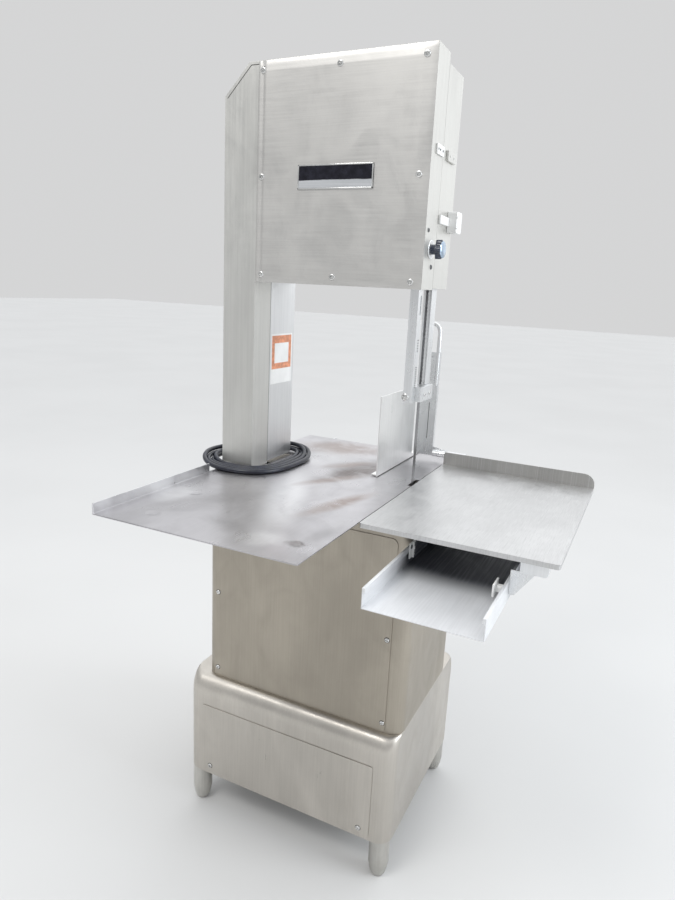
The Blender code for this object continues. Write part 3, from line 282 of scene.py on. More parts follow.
LOOKS = {
    "sheet": sheet_steel("brushed_sheet", WARM, 0.42, smudge=0.05),
    # The column's rear cover gets a lighter copy of the brushed sheet: painted light for its lit right
    # side.
    "column": sheet_steel("column_sheet_painted_light", (0.76, 0.765, 0.77), 0.40, smudge=0.05, seed=0.4),
    "cover": sheet_steel("brushed_cover", (0.600, 0.590, 0.572), 0.46, grain=(9, 420, 400),
                         smudge=0.03, seed=0.7),
    "cabinet": sheet_steel("cabinet_sheet", (0.405, 0.368, 0.312), 0.42, smudge=0.07, dirt=0.12,
                           seed=1.3),
    "base": sheet_steel("base_sheet", (0.56, 0.530, 0.485), 0.36, smudge=0.08, dirt=0.16, seed=2.1),
    "legs": sheet_steel("leg_pipe", (0.55, 0.54, 0.51), 0.34, smudge=0.12, dirt=0.35, seed=2.9),
    "table": sheet_steel("table_sheet", (0.47, 0.46, 0.475), 0.34, grain=(300, 9, 300),
                         smudge=0.10, patches=TABLE_PATCHES, scratches=0.08, mottle=0.55, seed=0.3,
                         dents=TABLE_DENTS),
    "moving": sheet_steel("moving_table_sheet", (0.57, 0.57, 0.57), 0.37, grain=(260, 40, 260),
                          smudge=0.05, scratches=0.40, mottle=0.30, seed=1.9,
                          patches=FENCE_SHADE_PATCHES),
    "bed": sheet_steel("bed_sheet", (0.80, 0.81, 0.83), 0.50, grain=(300, 9, 300), smudge=0.08,
                       metallic=0.40, seed=0.9, patches=BED_GREASE_AND_SHADE_PATCHES),
    "bright": sheet_steel("bright_bar", COOL, 0.30, smudge=0.05, seed=1.1),
    "plate": sheet_steel("gauge_sheet", (0.92, 0.92, 0.91), 0.36, smudge=0.04, seed=2.5),
    "screws": sheet_steel("screw_steel", (0.72, 0.72, 0.71), 0.20, grain=(300, 300, 300),
                          smudge=0.12, metallic=1.0),
    "blade": sheet_steel("blade_steel", (0.30, 0.30, 0.31), 0.30, grain=(300, 300, 20), smudge=0.15,
                         metallic=1.0),
    "cast": plain("cast_grey", (0.40, 0.41, 0.41), 0.50, metallic=0.3, depth=0.0003, fine=160.0),
    "black": plain("black_plastic", (0.018, 0.022, 0.036), 0.34),
    "knob": plain("knob_navy", (0.020, 0.030, 0.060), 0.24, Coat_Weight=0.4),
    "knob_face": plain("knob_face", (0.42, 0.52, 0.64), 0.20, metallic=0.9, variation=0.2),
    "white": plain("white_plastic", (0.80, 0.80, 0.79), 0.42, variation=0.05),
    "rubber": plain("belt_rubber", (0.022, 0.022, 0.024), 0.62),
    "cord": plain("cord_jacket", (0.016, 0.019, 0.032), 0.34, variation=0.25, scale=60.0),
    "green": plain("green_plastic", (0.02, 0.30, 0.07), 0.36),
    "red": plain("red_plastic", (0.55, 0.02, 0.015), 0.36),
    # The dark look is for seams and marks, and for painted shade in screw rims and the stop's hole.
    "dark": plain("dark_seam_and_shade", (0.055, 0.053, 0.050), 0.60),
    "brass": plain("pin_brass", (0.70, 0.58, 0.34), 0.28, metallic=1.0),
    "sticker": plain("sticker_white", (0.86, 0.86, 0.85), 0.45, variation=0.03),
    "orange": plain("sticker_orange", (0.72, 0.30, 0.17), 0.50, variation=0.16, scale=140.0),
    "bolt": plain("bolt_grey", (0.16, 0.165, 0.17), 0.35, metallic=0.8),
}


def nameplate_look():
    """Black enamel over the upper part, a satin strip below it."""
    graph = Graph("nameplate_enamel", 0.16, 0.35)
    low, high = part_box("nameplate")
    rise = graph.add("ShaderNodeSeparateXYZ", {0: graph.coordinates})
    wobble = graph.noise((30, 30, 30), detail=3.0)
    height = graph.math("MULTIPLY_ADD", wobble, 0.004, rise.outputs["Z"])
    edge = low.z + 0.36 * (high.z - low.z)
    upper = graph.ramp(height, edge + 0.0015, edge + 0.0030)
    fine = graph.noise((8, 300, 300), detail=2.0)
    silver = graph.mix(graph.ramp(fine, 0.3, 0.7), (0.48, 0.50, 0.52), (0.60, 0.61, 0.63))
    cloud = graph.noise((60, 60, 60), detail=4.0)
    enamel = graph.mix(graph.ramp(cloud, 0.35, 0.7), (0.006, 0.006, 0.012), (0.020, 0.020, 0.032))
    graph.colour(graph.mix(upper, silver, enamel))
    graph.roughness(graph.ramp(upper, 0.0, 1.0, 0.30, 0.12))
    graph.bump(fine, 0.00002)
    return graph.material


LOOKS["nameplate"] = nameplate_look()

NODE_LOOKS = {
    "column": ("column_rear_cover",),
    "sheet": ("upper_frame", "head_door", "switch_box", "head_front_cover",
              "interlock_magnet"),
    "cabinet": ("cabinet_shell", "cabinet_front_panel", "cabinet_door", "wheel_bulkhead"),
    "base": ("lower_base", "base_front_panel", "motor_mount"),
    "legs": ("leg_front_left", "leg_front_right", "leg_rear_left", "leg_rear_right"),
    "table": ("stationary_table",),
    "moving": ("moving_table",),
    "bed": ("table_bed",),
    "bright": ("outer_rail", "blade_guide_block", "blade_guard", "lower_blade_guide", "gauge_rod",
               "pusher_plate", "pusher_handle", "pusher_bracket", "lower_axle", "guide_bar",
               "cabinet_door_hinge_pin", "head_door_hinge_pin"),
    "plate": ("gauge_plate",),
    "blade": ("blade",),
    "cast": ("upper_wheel", "lower_wheel", "tension_slide", "tension_guides", "guide_bar_clamp",
             "lower_bearing_housing", "driven_pulley", "motor_pulley", "motor"),
    "black": ("tension_knob", "gauge_lock_knob", "cabinet_latch", "cord_gland"),
    "knob": ("guide_lock_knob",),
    "white": ("head_latch", "interlock_switch", "carriage_left", "carriage_right",
              "wheel_scraper"),
    "rubber": ("v_belt",),
    "green": ("start_button",),
    "red": ("stop_button",),
    "nameplate": ("nameplate",),
}


# ---- smoother CAD edges ----
def smooth_group():
    """Geometry nodes that shade smooth where faces meet at a small angle."""
    group = bpy.data.node_groups.new("smooth_by_angle", "GeometryNodeTree")
    group.interface.new_socket("Geometry", in_out="INPUT", socket_type="NodeSocketGeometry")
    group.interface.new_socket("Geometry", in_out="OUTPUT", socket_type="NodeSocketGeometry")
    nodes = Nodes(group)
    start = nodes.add("NodeGroupInput")
    faces = nodes.add("GeometryNodeSetShadeSmooth", {"Geometry": start.outputs[0]})
    angle = nodes.add("GeometryNodeInputMeshEdgeAngle")
    sharp = nodes.add("FunctionNodeCompare",
                      {0: angle.outputs["Unsigned Angle"], 1: SMOOTH_ANGLE},
                      operation="GREATER_THAN")
    edges = nodes.add("GeometryNodeSetShadeSmooth",
                      {"Geometry": faces.outputs[0], "Selection": sharp.outputs["Result"],
                       "Shade Smooth": False}, domain="EDGE")
    nodes.add("NodeGroupOutput", {0: edges.outputs[0]})
    return group


SMOOTH = smooth_group()
NOT_BEVELLED = {"blade", "v_belt", "pusher_handle", "nameplate", "gauge_rod", "start_button",
                "stop_button", "upper_wheel", "lower_wheel"}


def dress(name, look):
    node = NODES[name]
    node.data.materials.clear()
    node.data.materials.append(look)
    weld = node.modifiers.new("weld", "WELD")
    weld.merge_threshold = 0.00005
    if name not in NOT_BEVELLED:
        bevel = node.modifiers.new("bevel", "BEVEL")
        bevel.width = BEVEL_WIDTH
        bevel.segments = 2
        bevel.limit_method = "ANGLE"
        bevel.angle_limit = math.radians(50)
        bevel.use_clamp_overlap = True
    smooth = node.modifiers.new("smooth", "NODES")
    smooth.node_group = SMOOTH
    weighted = node.modifiers.new("weighted", "WEIGHTED_NORMAL")
    weighted.keep_sharp = True


for look_name, names in NODE_LOOKS.items():
    for node_name in names:
        dress(node_name, LOOKS[look_name])


# ---- building pieces ----
def bridge(work, lower, upper):
    """Faces between two rings of points."""
    for number in range(len(lower)):
        after = (number + 1) % len(lower)
        work.faces.new((lower[number], lower[after], upper[after], upper[number]))


def join_rings(work, rings, closed=False):
    """Faces between rings of points. The ends are capped, or joined if closed."""
    for lower, upper in zip(rings, rings[1:] + rings[:1] if closed else rings[1:]):
        bridge(work, lower, upper)
    if not closed:
        work.faces.new(list(reversed(rings[0])))
        work.faces.new(rings[-1])


def add_object(name, data):
    item = bpy.data.objects.new(name, data)
    bpy.context.scene.collection.objects.link(item)
    return item


class Builder:
    """Collects solids in the row frame and makes one piece of them."""

    def __init__(self, work=None):
        self.work = bmesh.new() if work is None else work

    def take(self, part, matrix):
        bmesh.ops.transform(part, matrix=matrix, verts=part.verts)
        mesh = bpy.data.meshes.new("part")
        part.to_mesh(mesh)
        part.free()
        self.work.from_mesh(mesh)
        bpy.data.meshes.remove(mesh)

    def box(self, low, high, bevel=0.0, turn=None):
        part = bmesh.new()
        bmesh.ops.create_cube(part, size=1.0)
        size = Vector(high) - Vector(low)
        bmesh.ops.scale(part, vec=size, verts=part.verts)
        if bevel:
            bmesh.ops.bevel(part, geom=part.edges[:], offset=bevel, segments=2, profile=0.5,
                            affect="EDGES", clamp_overlap=True)
        matrix = Matrix.Translation((Vector(low) + Vector(high)) / 2)
        if turn is not None:
            matrix = matrix @ turn
        self.take(part, matrix)
        return self

    def lathe(self, origin, axis, profile, steps=32, shape=None):
        """A turned solid. The profile is (radius, height), from one end to the other."""
        part = bmesh.new()
        rings = []
        for radius, height in profile:
            ring = []
            for number in range(steps):
                angle = math.tau * number / steps
                x = radius * math.cos(angle)
                y = radius * math.sin(angle)
                z = height if shape is None else shape(x, y, height)
                ring.append(part.verts.new((x, y, z)))
            rings.append(ring)
        join_rings(part, rings)
        turn = Vector((0, 0, 1)).rotation_difference(Vector(axis).normalized()).to_matrix().to_4x4()
        self.take(part, Matrix.Translation(Vector(origin)) @ turn)
        return self

    def rod(self, start, end, radius, steps=24):
        along = Vector(end) - Vector(start)
        edge = min(radius * 0.12, along.length * 0.2)
        profile = [(radius - edge, 0.0), (radius, edge), (radius, along.length - edge),
                   (radius - edge, along.length)]
        return self.lathe(start, along, profile, steps)

    def screw(self, point, normal, radius, turn=0.0):
        """A pan head with a cross recess."""
        height = radius * 0.46
        arm = radius * 0.15
        reach = radius * 0.62
        cosine = math.cos(turn)
        sine = math.sin(turn)

        def recess(x, y, z):
            u = x * cosine + y * sine
            v = y * cosine - x * sine
            inside = (abs(u) < arm or abs(v) < arm) and math.hypot(x, y) < reach
            return z - height * 0.55 if inside and z > height * 0.5 else z

        profile = [(radius, 0.0), (radius, height * 0.30), (radius * 0.93, height * 0.62),
                   (radius * 0.80, height * 0.84)]
        for share in (0.64, 0.60, 0.52, 0.44, 0.36, 0.28, 0.20, 0.12, 0.05):
            profile.append((radius * share, height * (1.0 - 0.12 * share)))
        return self.lathe(point, normal, profile, 56, recess)

    def piece(self, name, look, body, slot=None, angle=38):
        bmesh.ops.recalc_face_normals(self.work, faces=self.work.faces)
        mesh = bpy.data.meshes.new(name)
        self.work.to_mesh(mesh)
        self.work.free()
        mesh.materials.append(LOOKS[look])
        mesh.shade_smooth()
        mesh.set_sharp_from_angle(angle=math.radians(angle))
        item = add_object(name, mesh)
        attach(item, body)
        return item


def ring_piece(name, rows, look, body, slot, angle, closed=False):
    """A skin over rows of points, each of which runs round it."""
    work = bmesh.new()
    rings = [[work.verts.new(point) for point in row] for row in rows]
    join_rings(work, rings, closed)
    return Builder(work).piece(name, look, body, slot, angle)


random.seed(11)

# ---- screws ----
FACE = Vector((0, -1, 0))
SIDE = Vector((1, 0, 0))


def screws_on(node, places, radius, name, lift=0.0):
    """Screws on a panel's front face, each in a thin dark rim of grime and painted shade."""
    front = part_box(node)[0].y
    rim = 0.0011
    builder = Builder()
    rims = Builder()
    for x, z in places:
        point = w(x, 0.0, z)
        point.y = front + lift
        builder.screw(point, FACE, radius, random.uniform(0, math.pi / 2))
        # Each rim is a dark ring round the head: painted shade, with some grime.
        rims.lathe(point, FACE, [(radius + rim, -0.0002), (radius + rim, 0.0001),
                                 (radius - 0.0005, 0.0003)], 32)
    rims.piece(name + "_grime_and_shade_rims", "dark", "frame")
    return builder.piece(name, "screws", "frame", "bright_steel")


# ---- upper casing ----
def cover_piece():
    """The casing's front cover: flat in the middle, folded round its rim."""
    low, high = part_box("head_front_cover")
    width = high.x - low.x
    tall = high.z - low.z
    right_fold = 0.0275
    top_fold = 0.021
    bottom_fold = 0.010
    groove_at = 0.0115
    groove_half = 0.00425
    edge = 0.0015
    sink = 0.0017
    deepest = 0.0019

    def depth(x, z):
        right = max(0.0, x - (width - right_fold)) / right_fold
        top = max(0.0, z - (tall - top_fold)) / top_fold
        bottom = max(0.0, bottom_fold - z) / bottom_fold
        left = max(0.0, 1.0 - abs(x - groove_at) / groove_half)
        rim = max(0.0, 1.0 - min(x, z, width - x, tall - z) / edge)
        return min(deepest, sink * max(right, top, bottom) + 0.0011 * left ** 0.5 + 0.0010 * rim)

    xs = [0.0, 0.0007, 0.0015, 0.0050, 0.0072, 0.0080, 0.0095, 0.0115, 0.0135, 0.0150, 0.0158, 0.02]
    xs += list(np.linspace(0.05, width - 0.05, 8))
    xs += [width - back for back in (right_fold + 0.001, right_fold, right_fold - 0.002, 0.014, edge,
                                     0.0007, 0.0)]
    zs = [0.0, 0.0007, edge, 0.0050, 0.0095, 0.0105, 0.014] + list(np.linspace(0.05, tall - 0.05, 8))
    zs += [tall - back for back in (0.0225, top_fold, 0.019, 0.010, edge, 0.0007, 0.0)]
    work = bmesh.new()
    front = [[work.verts.new((low.x + x, low.y + depth(x, z), low.z + z)) for x in xs] for z in zs]
    back = [[work.verts.new((low.x + x, high.y, low.z + z)) for x in xs] for z in zs]
    for row in range(len(zs) - 1):
        for column in range(len(xs) - 1):
            for grid in (front, back):
                work.faces.new((grid[row][column], grid[row][column + 1],
                                grid[row + 1][column + 1], grid[row + 1][column]))
    rims = [grid[0][:-1] + [row[-1] for row in grid[:-1]] + grid[-1][:0:-1]
            + [row[0] for row in grid[:0:-1]] for grid in (front, back)]
    bridge(work, *rims)
    item = Builder(work).piece("casing_cover", "cover", "frame", "steel", angle=60)
    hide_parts("head_front_cover")


cover_piece()
screws_on("head_front_cover",
          ((-0.149, 1.763), (0.029, 1.761), (0.208, 1.762), (-0.148, 1.556), (0.208, 1.553),
           (-0.145, 1.354), (0.031, 1.354), (0.206, 1.351)), 0.0068, "casing_screws", 0.0012)
screws_on("cabinet_front_panel",
          ((-0.208, 0.599), (0.235, 0.599), (0.237, 0.395), (-0.208, 0.395)), 0.0055,
          "cabinet_screws")
screws_on("base_front_panel", ((-0.209, 0.127), (0.208, 0.127)), 0.0060, "base_screws")


def nameplate_border():
    low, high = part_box("nameplate")
    rim = 0.0026
    builder = Builder()
    front = low.y - 0.0006
    for left, right, bottom, top in ((low.x, high.x, low.z, low.z + rim),
                                     (low.x, high.x, high.z - rim, high.z),
                                     (low.x, low.x + rim, low.z, high.z),
                                     (high.x - rim, high.x, low.z, high.z)):
        builder.box((left, front, bottom), (right, high.y, top), 0.0004)
    builder.piece("nameplate_border", "screws", "frame", "nameplate_metal")


nameplate_border()


def frame_lip():
    """The seam where the casing's rim is folded over, inside its top left corner."""
    low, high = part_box("upper_frame")
    inset = 0.0065
    chamfer = 0.0615
    front = low.y
    lip = Builder()
    left = low.x + inset
    top = high.z - inset
    corner = chamfer - 0.002
    cover_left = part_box("head_front_cover")[0].x

    def strip(start, end, thick, proud):
        along = Vector(end) - Vector(start)
        turn = Matrix.Rotation(-math.atan2(along.z, along.x), 4, "Y")
        middle = (Vector(start) + Vector(end)) / 2
        half = Vector((along.length / 2, proud, thick / 2))
        lip.box(middle - half, middle + half, turn=turn)

    strip((left + corner, front, top), (cover_left, front, top), 0.0014, 0.0003)
    strip((left, front, top - corner), (left + corner, front, top), 0.0014, 0.0003)
    lip.piece("casing_lip", "dark", "frame")


frame_lip()


def casing_side():
    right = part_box("upper_frame")[1].x
    bolts = Builder()
    for y, z, radius in ((-0.123, 1.452, 0.0042), (-0.092, 1.383, 0.0048)):
        point = w(0.0, y, z)
        point.x = right
        bolts.screw(point, SIDE, radius, random.uniform(0, 1.5))
    for y in (-0.109, -0.098, -0.082):
        point = w(0.0, y, 1.6035)
        point.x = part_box("interlock_switch")[1].x - 0.0002
        bolts.rod(point, point + SIDE * 0.0012, 0.0022, 16)
    bolts.piece("side_bolts", "bolt", "frame", "bright_steel")
    low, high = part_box("guide_lock_knob")
    middle = (low + high) / 2
    ring = Builder()
    start = Vector((right + 0.0003, middle.y, middle.z))
    ring.lathe(start, SIDE, [(0.0125, 0.0), (0.019, 0.0), (0.019, 0.0010), (0.0180, 0.0018),
                             (0.0125, 0.0018)], 40)
    ring.piece("knob_escutcheon", "bright", "frame", "bright_steel")
    disc = Builder()
    start = Vector((high.x - 0.0004, middle.y, middle.z))
    disc.lathe(start, SIDE, [(0.0150, 0.0), (0.0165, 0.0008), (0.0165, 0.0022), (0.0150, 0.0034),
                             (0.0060, 0.0046), (0.0010, 0.0048)], 40)
    disc.piece("knob_disc", "knob_face", "guide_lock", "black_plastic")


casing_side()


def magnet_rivets():
    low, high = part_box("interlock_magnet")
    rivets = Builder()
    for share in (0.25, 0.75):
        point = Vector((high.x - 0.0002, low.y + share * (high.y - low.y), (low.z + high.z) / 2))
        rivets.rod(point, point + SIDE * 0.0012, 0.0025, 16)
    rivets.piece("magnet_rivets", "screws", "upper_door", "bright_steel")
    low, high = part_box("head_latch")
    pins = Builder()
    for share in (0.25, 0.75):
        point = Vector((high.x - 0.0002, low.y + 0.62 * (high.y - low.y),
                        low.z + share * (high.z - low.z)))
        pins.screw(point, SIDE, 0.0036, 0.4)
    pins.piece("latch_screws", "screws", "upper_door_latch", "bright_steel")


magnet_rivets()


def sticker():
    """A blank label with coloured bands on the column's right side."""
    low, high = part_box("column_rear_cover")
    right = high.x
    near = low.y + 0.006
    far = low.y + 0.104
    parts = (("label_white", "sticker", 0.0002, near, far, 1.098, 1.218),
             ("label_top_band", "orange", 0.0004, near + 0.004, far - 0.004, 1.196, 1.214),
             ("label_lower_band", "orange", 0.0004, near + 0.004, far - 0.004, 1.134, 1.148),
             ("label_left_bar", "orange", 0.0004, near + 0.004, near + 0.016, 1.148, 1.196),
             ("label_right_bar", "orange", 0.0004, far - 0.016, far - 0.004, 1.148, 1.196))
    for name, look, proud, front, rear, bottom, top in parts:
        label = Builder().box((right, front, bottom), (right + proud, rear, top))
        label.piece(name, look, "frame")


sticker()


def column_seam():
    """The dark joint between the frame and its rear cover."""
    low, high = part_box("column_rear_cover")
    seam = Builder()
    seam.box((high.x - 0.0006, low.y - 0.0008, low.z), (high.x + 0.00015, low.y + 0.0002, high.z))
    seam.piece("column_seam", "dark", "frame")


column_seam()


# ---- blade, guide and pusher ----
def blade_teeth():
    """The same band as in the CAD with its teeth cut along the operator's edge."""
    low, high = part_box("blade")
    radius = (high.x - low.x) / 2
    centre_x = (low.x + high.x) / 2
    top = high.z - radius
    bottom = low.z + radius
    straight = top - bottom
    length = 2 * straight + math.tau * radius
    teeth = 372
    steps = teeth * 2
    thick = 0.0009
    root = high.y - 0.0028
    gullet = root - 0.0006

    def place_at(run):
        if run < straight:
            return centre_x + radius, bottom + run, 1.0, 0.0
        run -= straight
        if run < math.pi * radius:
            angle = run / radius
            return (centre_x + radius * math.cos(angle), top + radius * math.sin(angle),
                    math.cos(angle), math.sin(angle))
        run -= math.pi * radius
        if run < straight:
            return centre_x - radius, top - run, -1.0, 0.0
        angle = math.pi + (run - straight) / radius
        return (centre_x + radius * math.cos(angle), bottom + radius * math.sin(angle),
                math.cos(angle), math.sin(angle))

    rows = []
    for number in range(steps):
        x, z, out_x, out_z = place_at(length * number / steps)
        edge = high.y if number % 2 else root
        rows.append([(x - out_x * inset, y, z - out_z * inset)
                     for y, inset in ((low.y, 0.0), (gullet, 0.0), (edge, 0.0), (edge, thick),
                                      (gullet, thick), (low.y, thick))])
    item = ring_piece("toothed_blade", rows, "blade", "frame", "blade_steel", 35, closed=True)
    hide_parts("blade")


blade_teeth()


def guide_details():
    low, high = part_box("guide_bar")
    bolt = Builder()
    point = w(0.2017, 0.0, 1.115)
    point.y = low.y
    bolt.screw(point, FACE, 0.0082, 0.5)
    bolt.piece("guide_bar_screw", "screws", "upper_guide", "bright_steel")
    marks = Builder()
    side = high.x
    front = low.y + 0.0125
    for count, bottom, pitch, tall, inset in ((12, 1.135, 0.0038, 0.0014, 0.0),
                                              (5, 1.211, 0.0055, 0.0022, 0.001)):
        for number in range(count):
            z = bottom + pitch * number
            marks.box((side - 0.0004, front + inset, z),
                      (side + 0.0003, front + 0.0075 - inset, z + tall))
    marks.piece("guide_scale", "dark", "upper_guide")
    low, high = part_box("blade_guide_block")
    bolts = Builder()
    for y in (0.30, 0.72):
        point = Vector((high.x, low.y + y * (high.y - low.y), (low.z + high.z) / 2 - 0.001))
        bolts.screw(point, SIDE, 0.0044, 0.9 * y)
    bolts.piece("guide_block_screws", "screws", "upper_guide", "bright_steel")


guide_details()


def pusher_details():
    """The handle's legs run down the plate, with a cross bar and grip ribs between them."""
    low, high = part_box("pusher_plate")
    top = high.z
    handle_low, handle_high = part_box("pusher_handle")
    handle_line = (handle_low.y + handle_high.y) / 2    # the middle of the plate's thickness
    front = handle_line - 0.00125
    tube = (handle_high.y - handle_low.y) / 2
    radius = 0.0046
    foot = 1.100
    rib_pitch = 0.0056
    rib_height = 0.0026
    legs = Builder()
    for x in (handle_low.x + tube, handle_high.x - tube):
        legs.rod((x, handle_line, foot), (x, handle_line, top - 0.0003), radius, 20)
    legs.piece("handle_legs", "bright", "pusher", "bright_steel")
    left = handle_low.x + tube + radius
    right = handle_high.x - tube - radius
    bars = Builder()
    bars.box((left - 0.002, front - 0.0030, top - 0.022), (right + 0.002, front, top - 0.009), 0.0010)
    for number in range(8):
        z = top - 0.031 - rib_pitch * number
        bars.box((left, front - 0.0016, z - rib_height), (right, front, z), 0.0005)
    bars.piece("pusher_ribs", "bright", "pusher", "bright_steel")
    seam = Builder().box((low.x + 0.033, front - 0.0003, 0.960), (low.x + 0.0345, front, 1.055))
    seam.piece("pusher_seam", "dark", "pusher")


pusher_details()


# ---- bed: travel stops ----
def travel_stops():
    """A block on the bed's right wall and an angle on its left wall."""
    right = 0.495
    left = 0.293
    floor = BED_FLOOR
    stop = Builder()
    stop.box(w(right - 0.022, -0.348, floor + 0.010), w(right - 0.018, -0.312, floor + 0.034), 0.0012)
    stop.box(w(right - 0.020, -0.336, floor + 0.016), w(right, -0.324, floor + 0.028), 0.0008)
    stop.piece("travel_stop_right", "white", "frame", "white_plastic")
    # A dark disc on the stop's face stands for the shade inside its hole: painted shade.
    hole = Builder()
    point = w(right - 0.0221, -0.330, floor + 0.022)
    hole.rod(point + SIDE * 0.0006, point - SIDE * 0.0006, 0.0042, 20)
    hole.piece("travel_stop_hole_shade", "dark", "frame")
    bracket = Builder()
    bracket.box(w(left, -0.276, floor + 0.014), w(left + 0.0025, -0.246, floor + 0.046), 0.0006)
    bracket.box(w(left, -0.264, floor + 0.014), w(left + 0.0062, -0.2615, floor + 0.046), 0.0006)
    bracket.piece("travel_stop_left", "white", "frame", "white_plastic")
    bolts = Builder()
    for y, z in ((-0.270, 0.038), (-0.252, 0.038), (-0.252, 0.022)):
        bolts.screw(w(left + 0.0023, y, floor + z), SIDE, 0.0046, y * 9)
    bolts.piece("travel_stop_bolts", "bolt", "frame", "bright_steel")


travel_stops()


# ---- cord ----
RING_LOW, RING_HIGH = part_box("cord_coil")
RING_RADIUS = (RING_HIGH.z - RING_LOW.z) / 2
RING_CENTRE = (RING_LOW + RING_HIGH) / 2
RING_HALF_X = (RING_HIGH.x - RING_LOW.x) / 2 - RING_RADIUS
RING_HALF_Y = (RING_HIGH.y - RING_LOW.y) / 2 - RING_RADIUS
RING_SQUARENESS = 2.8
BUNDLE_RADIUS = 0.0082          # from the bundle's middle to each of its strands
STRAND_PITCH = 0.0116           # between strands that lie side by side
LEAD_ROUTE = (                  # as in the CAD, from the gland down to the top of the coil
    (-0.2180, 0.0733, 1.0947),
    (-0.2180, 0.0733, 1.0600),
    (-0.2180, 0.0731, 1.0200),
    (-0.2181, 0.0728, 0.9850),
    (-0.2200, 0.0722, 0.9600),
    (-0.2250, 0.0713, 0.9470),
    (-0.2320, 0.0702, 0.9396),
)


def smooth_route(route, steps):
    """Points on a Catmull-Rom curve through the points of a route."""
    ends = [Vector(point) for point in (route[0], *route, route[-1])]
    ends[0] = ends[1] * 2 - ends[2]
    ends[-1] = ends[-2] * 2 - ends[-3]
    points = []
    for before, first, second, after in zip(ends, ends[1:], ends[2:], ends[3:]):
        for number in range(steps):
            part = number / steps
            points.append(0.5 * (2 * first + (second - before) * part
                                 + (2 * before - 5 * first + 4 * second - after) * part ** 2
                                 + (3 * first - before - 3 * second + after) * part ** 3))
    points.append(ends[-2])
    return points


def run_lengths(points):
    """The length along a route from its start to each point."""
    return np.concatenate([[0.0], np.cumsum(np.linalg.norm(np.diff(points, axis=0), axis=1))])


def at_lengths(wanted, lengths, values):
    """Each column of values at the wanted lengths."""
    return np.stack([np.interp(wanted, lengths, column) for column in values.T], axis=-1)


def ring_table(start_angle, count=720):
    """Points, outward directions and lengths along the rounded oval, from a start angle."""
    angles = start_angle + np.linspace(0.0, math.tau, count + 1)
    power = RING_SQUARENESS
    reach = (np.abs(np.cos(angles) / RING_HALF_X) ** power
             + np.abs(np.sin(angles) / RING_HALF_Y) ** power) ** (-1.0 / power)
    points = np.stack([reach * np.cos(angles), reach * np.sin(angles)], 1)
    points += np.array([RING_CENTRE.x, RING_CENTRE.y])
    tangents = np.gradient(points, axis=0)
    tangents /= np.linalg.norm(tangents, axis=1)[:, None]
    outward = np.stack([tangents[:, 1], -tangents[:, 0]], 1)
    return points, outward, run_lengths(points)


def ease(value):
    value = min(1.0, max(0.0, value))
    return value * value * (3 - 2 * value)


def bump(value, centre, reach):
    """1 at the centre of a turn's share, 0 beyond its reach."""
    away = abs((value - centre + 0.5) % 1.0 - 0.5)
    return 1.0 - ease(away / reach)


def strand_offset(turn, along, landing_height):
    """How far outward and up a strand lies from the middle of the bundle.

    The strands are bundled behind the column and lie side by side on the table before it.
    """
    part = turn % 1.0
    layer = min(3, int(turn))
    apart = 0.0115
    if turn < 3.0:
        angle = math.radians(135 + 90 * turn)
        outward = BUNDLE_RADIUS * math.cos(angle)
        up = BUNDLE_RADIUS * math.sin(angle)
    else:
        angle = math.radians(315 + 90 * (turn - 3.0))
        lean = math.radians(90 - 107 * ease((turn - 3.0) / 0.72))
        outward = BUNDLE_RADIUS * math.cos(angle) + apart * math.cos(lean)
        up = BUNDLE_RADIUS * math.sin(angle) + apart * math.sin(lean)
    flat_from = 0.30
    flat_to = 0.90
    blend = 0.14
    flat = ease((part - flat_from) / blend) * ease((flat_to - part) / blend)
    wave = 0.0006 * math.sin(math.tau * (2.0 * part + 0.27 * layer))
    beside = -0.0155 + STRAND_PITCH * layer + wave
    outward += (beside - outward) * flat
    up += (CORD_DIAMETER / 2 - RING_RADIUS + 0.0003 - up) * flat
    up -= 0.004 * bump(part, 0.16, 0.14)
    if turn < 0.2:
        radius = 0.054
        reach = 0.038
        landed = BUNDLE_RADIUS * math.sin(math.radians(135))
        drop = radius - math.sqrt(radius ** 2 - reach ** 2)
        if along < reach:
            up += radius - math.sqrt(radius ** 2 - (reach - along) ** 2)
        up += (landing_height - landed - drop) * (1.0 - ease(along / 0.03))
        outward *= ease(along / 0.07)
    return outward, up


def relax(points, spacing, width):
    """Even spacing and a light smoothing that keeps both ends where they are."""
    points = np.array(points, float)
    lengths = run_lengths(points)
    count = int(round(lengths[-1] / spacing))
    points = at_lengths(np.linspace(0.0, lengths[-1], count + 1), lengths, points)
    reach = int(round(3 * width / spacing))
    kernel = np.exp(-0.5 * (np.arange(-reach, reach + 1) * spacing / width) ** 2)
    kernel /= kernel.sum()
    before = 2 * points[0] - points[reach:0:-1]
    after = 2 * points[-1] - points[-2:-reach - 2:-1]
    padded = np.concatenate([before, points, after])
    return np.stack([np.convolve(column, kernel, "valid") for column in padded.T], 1)


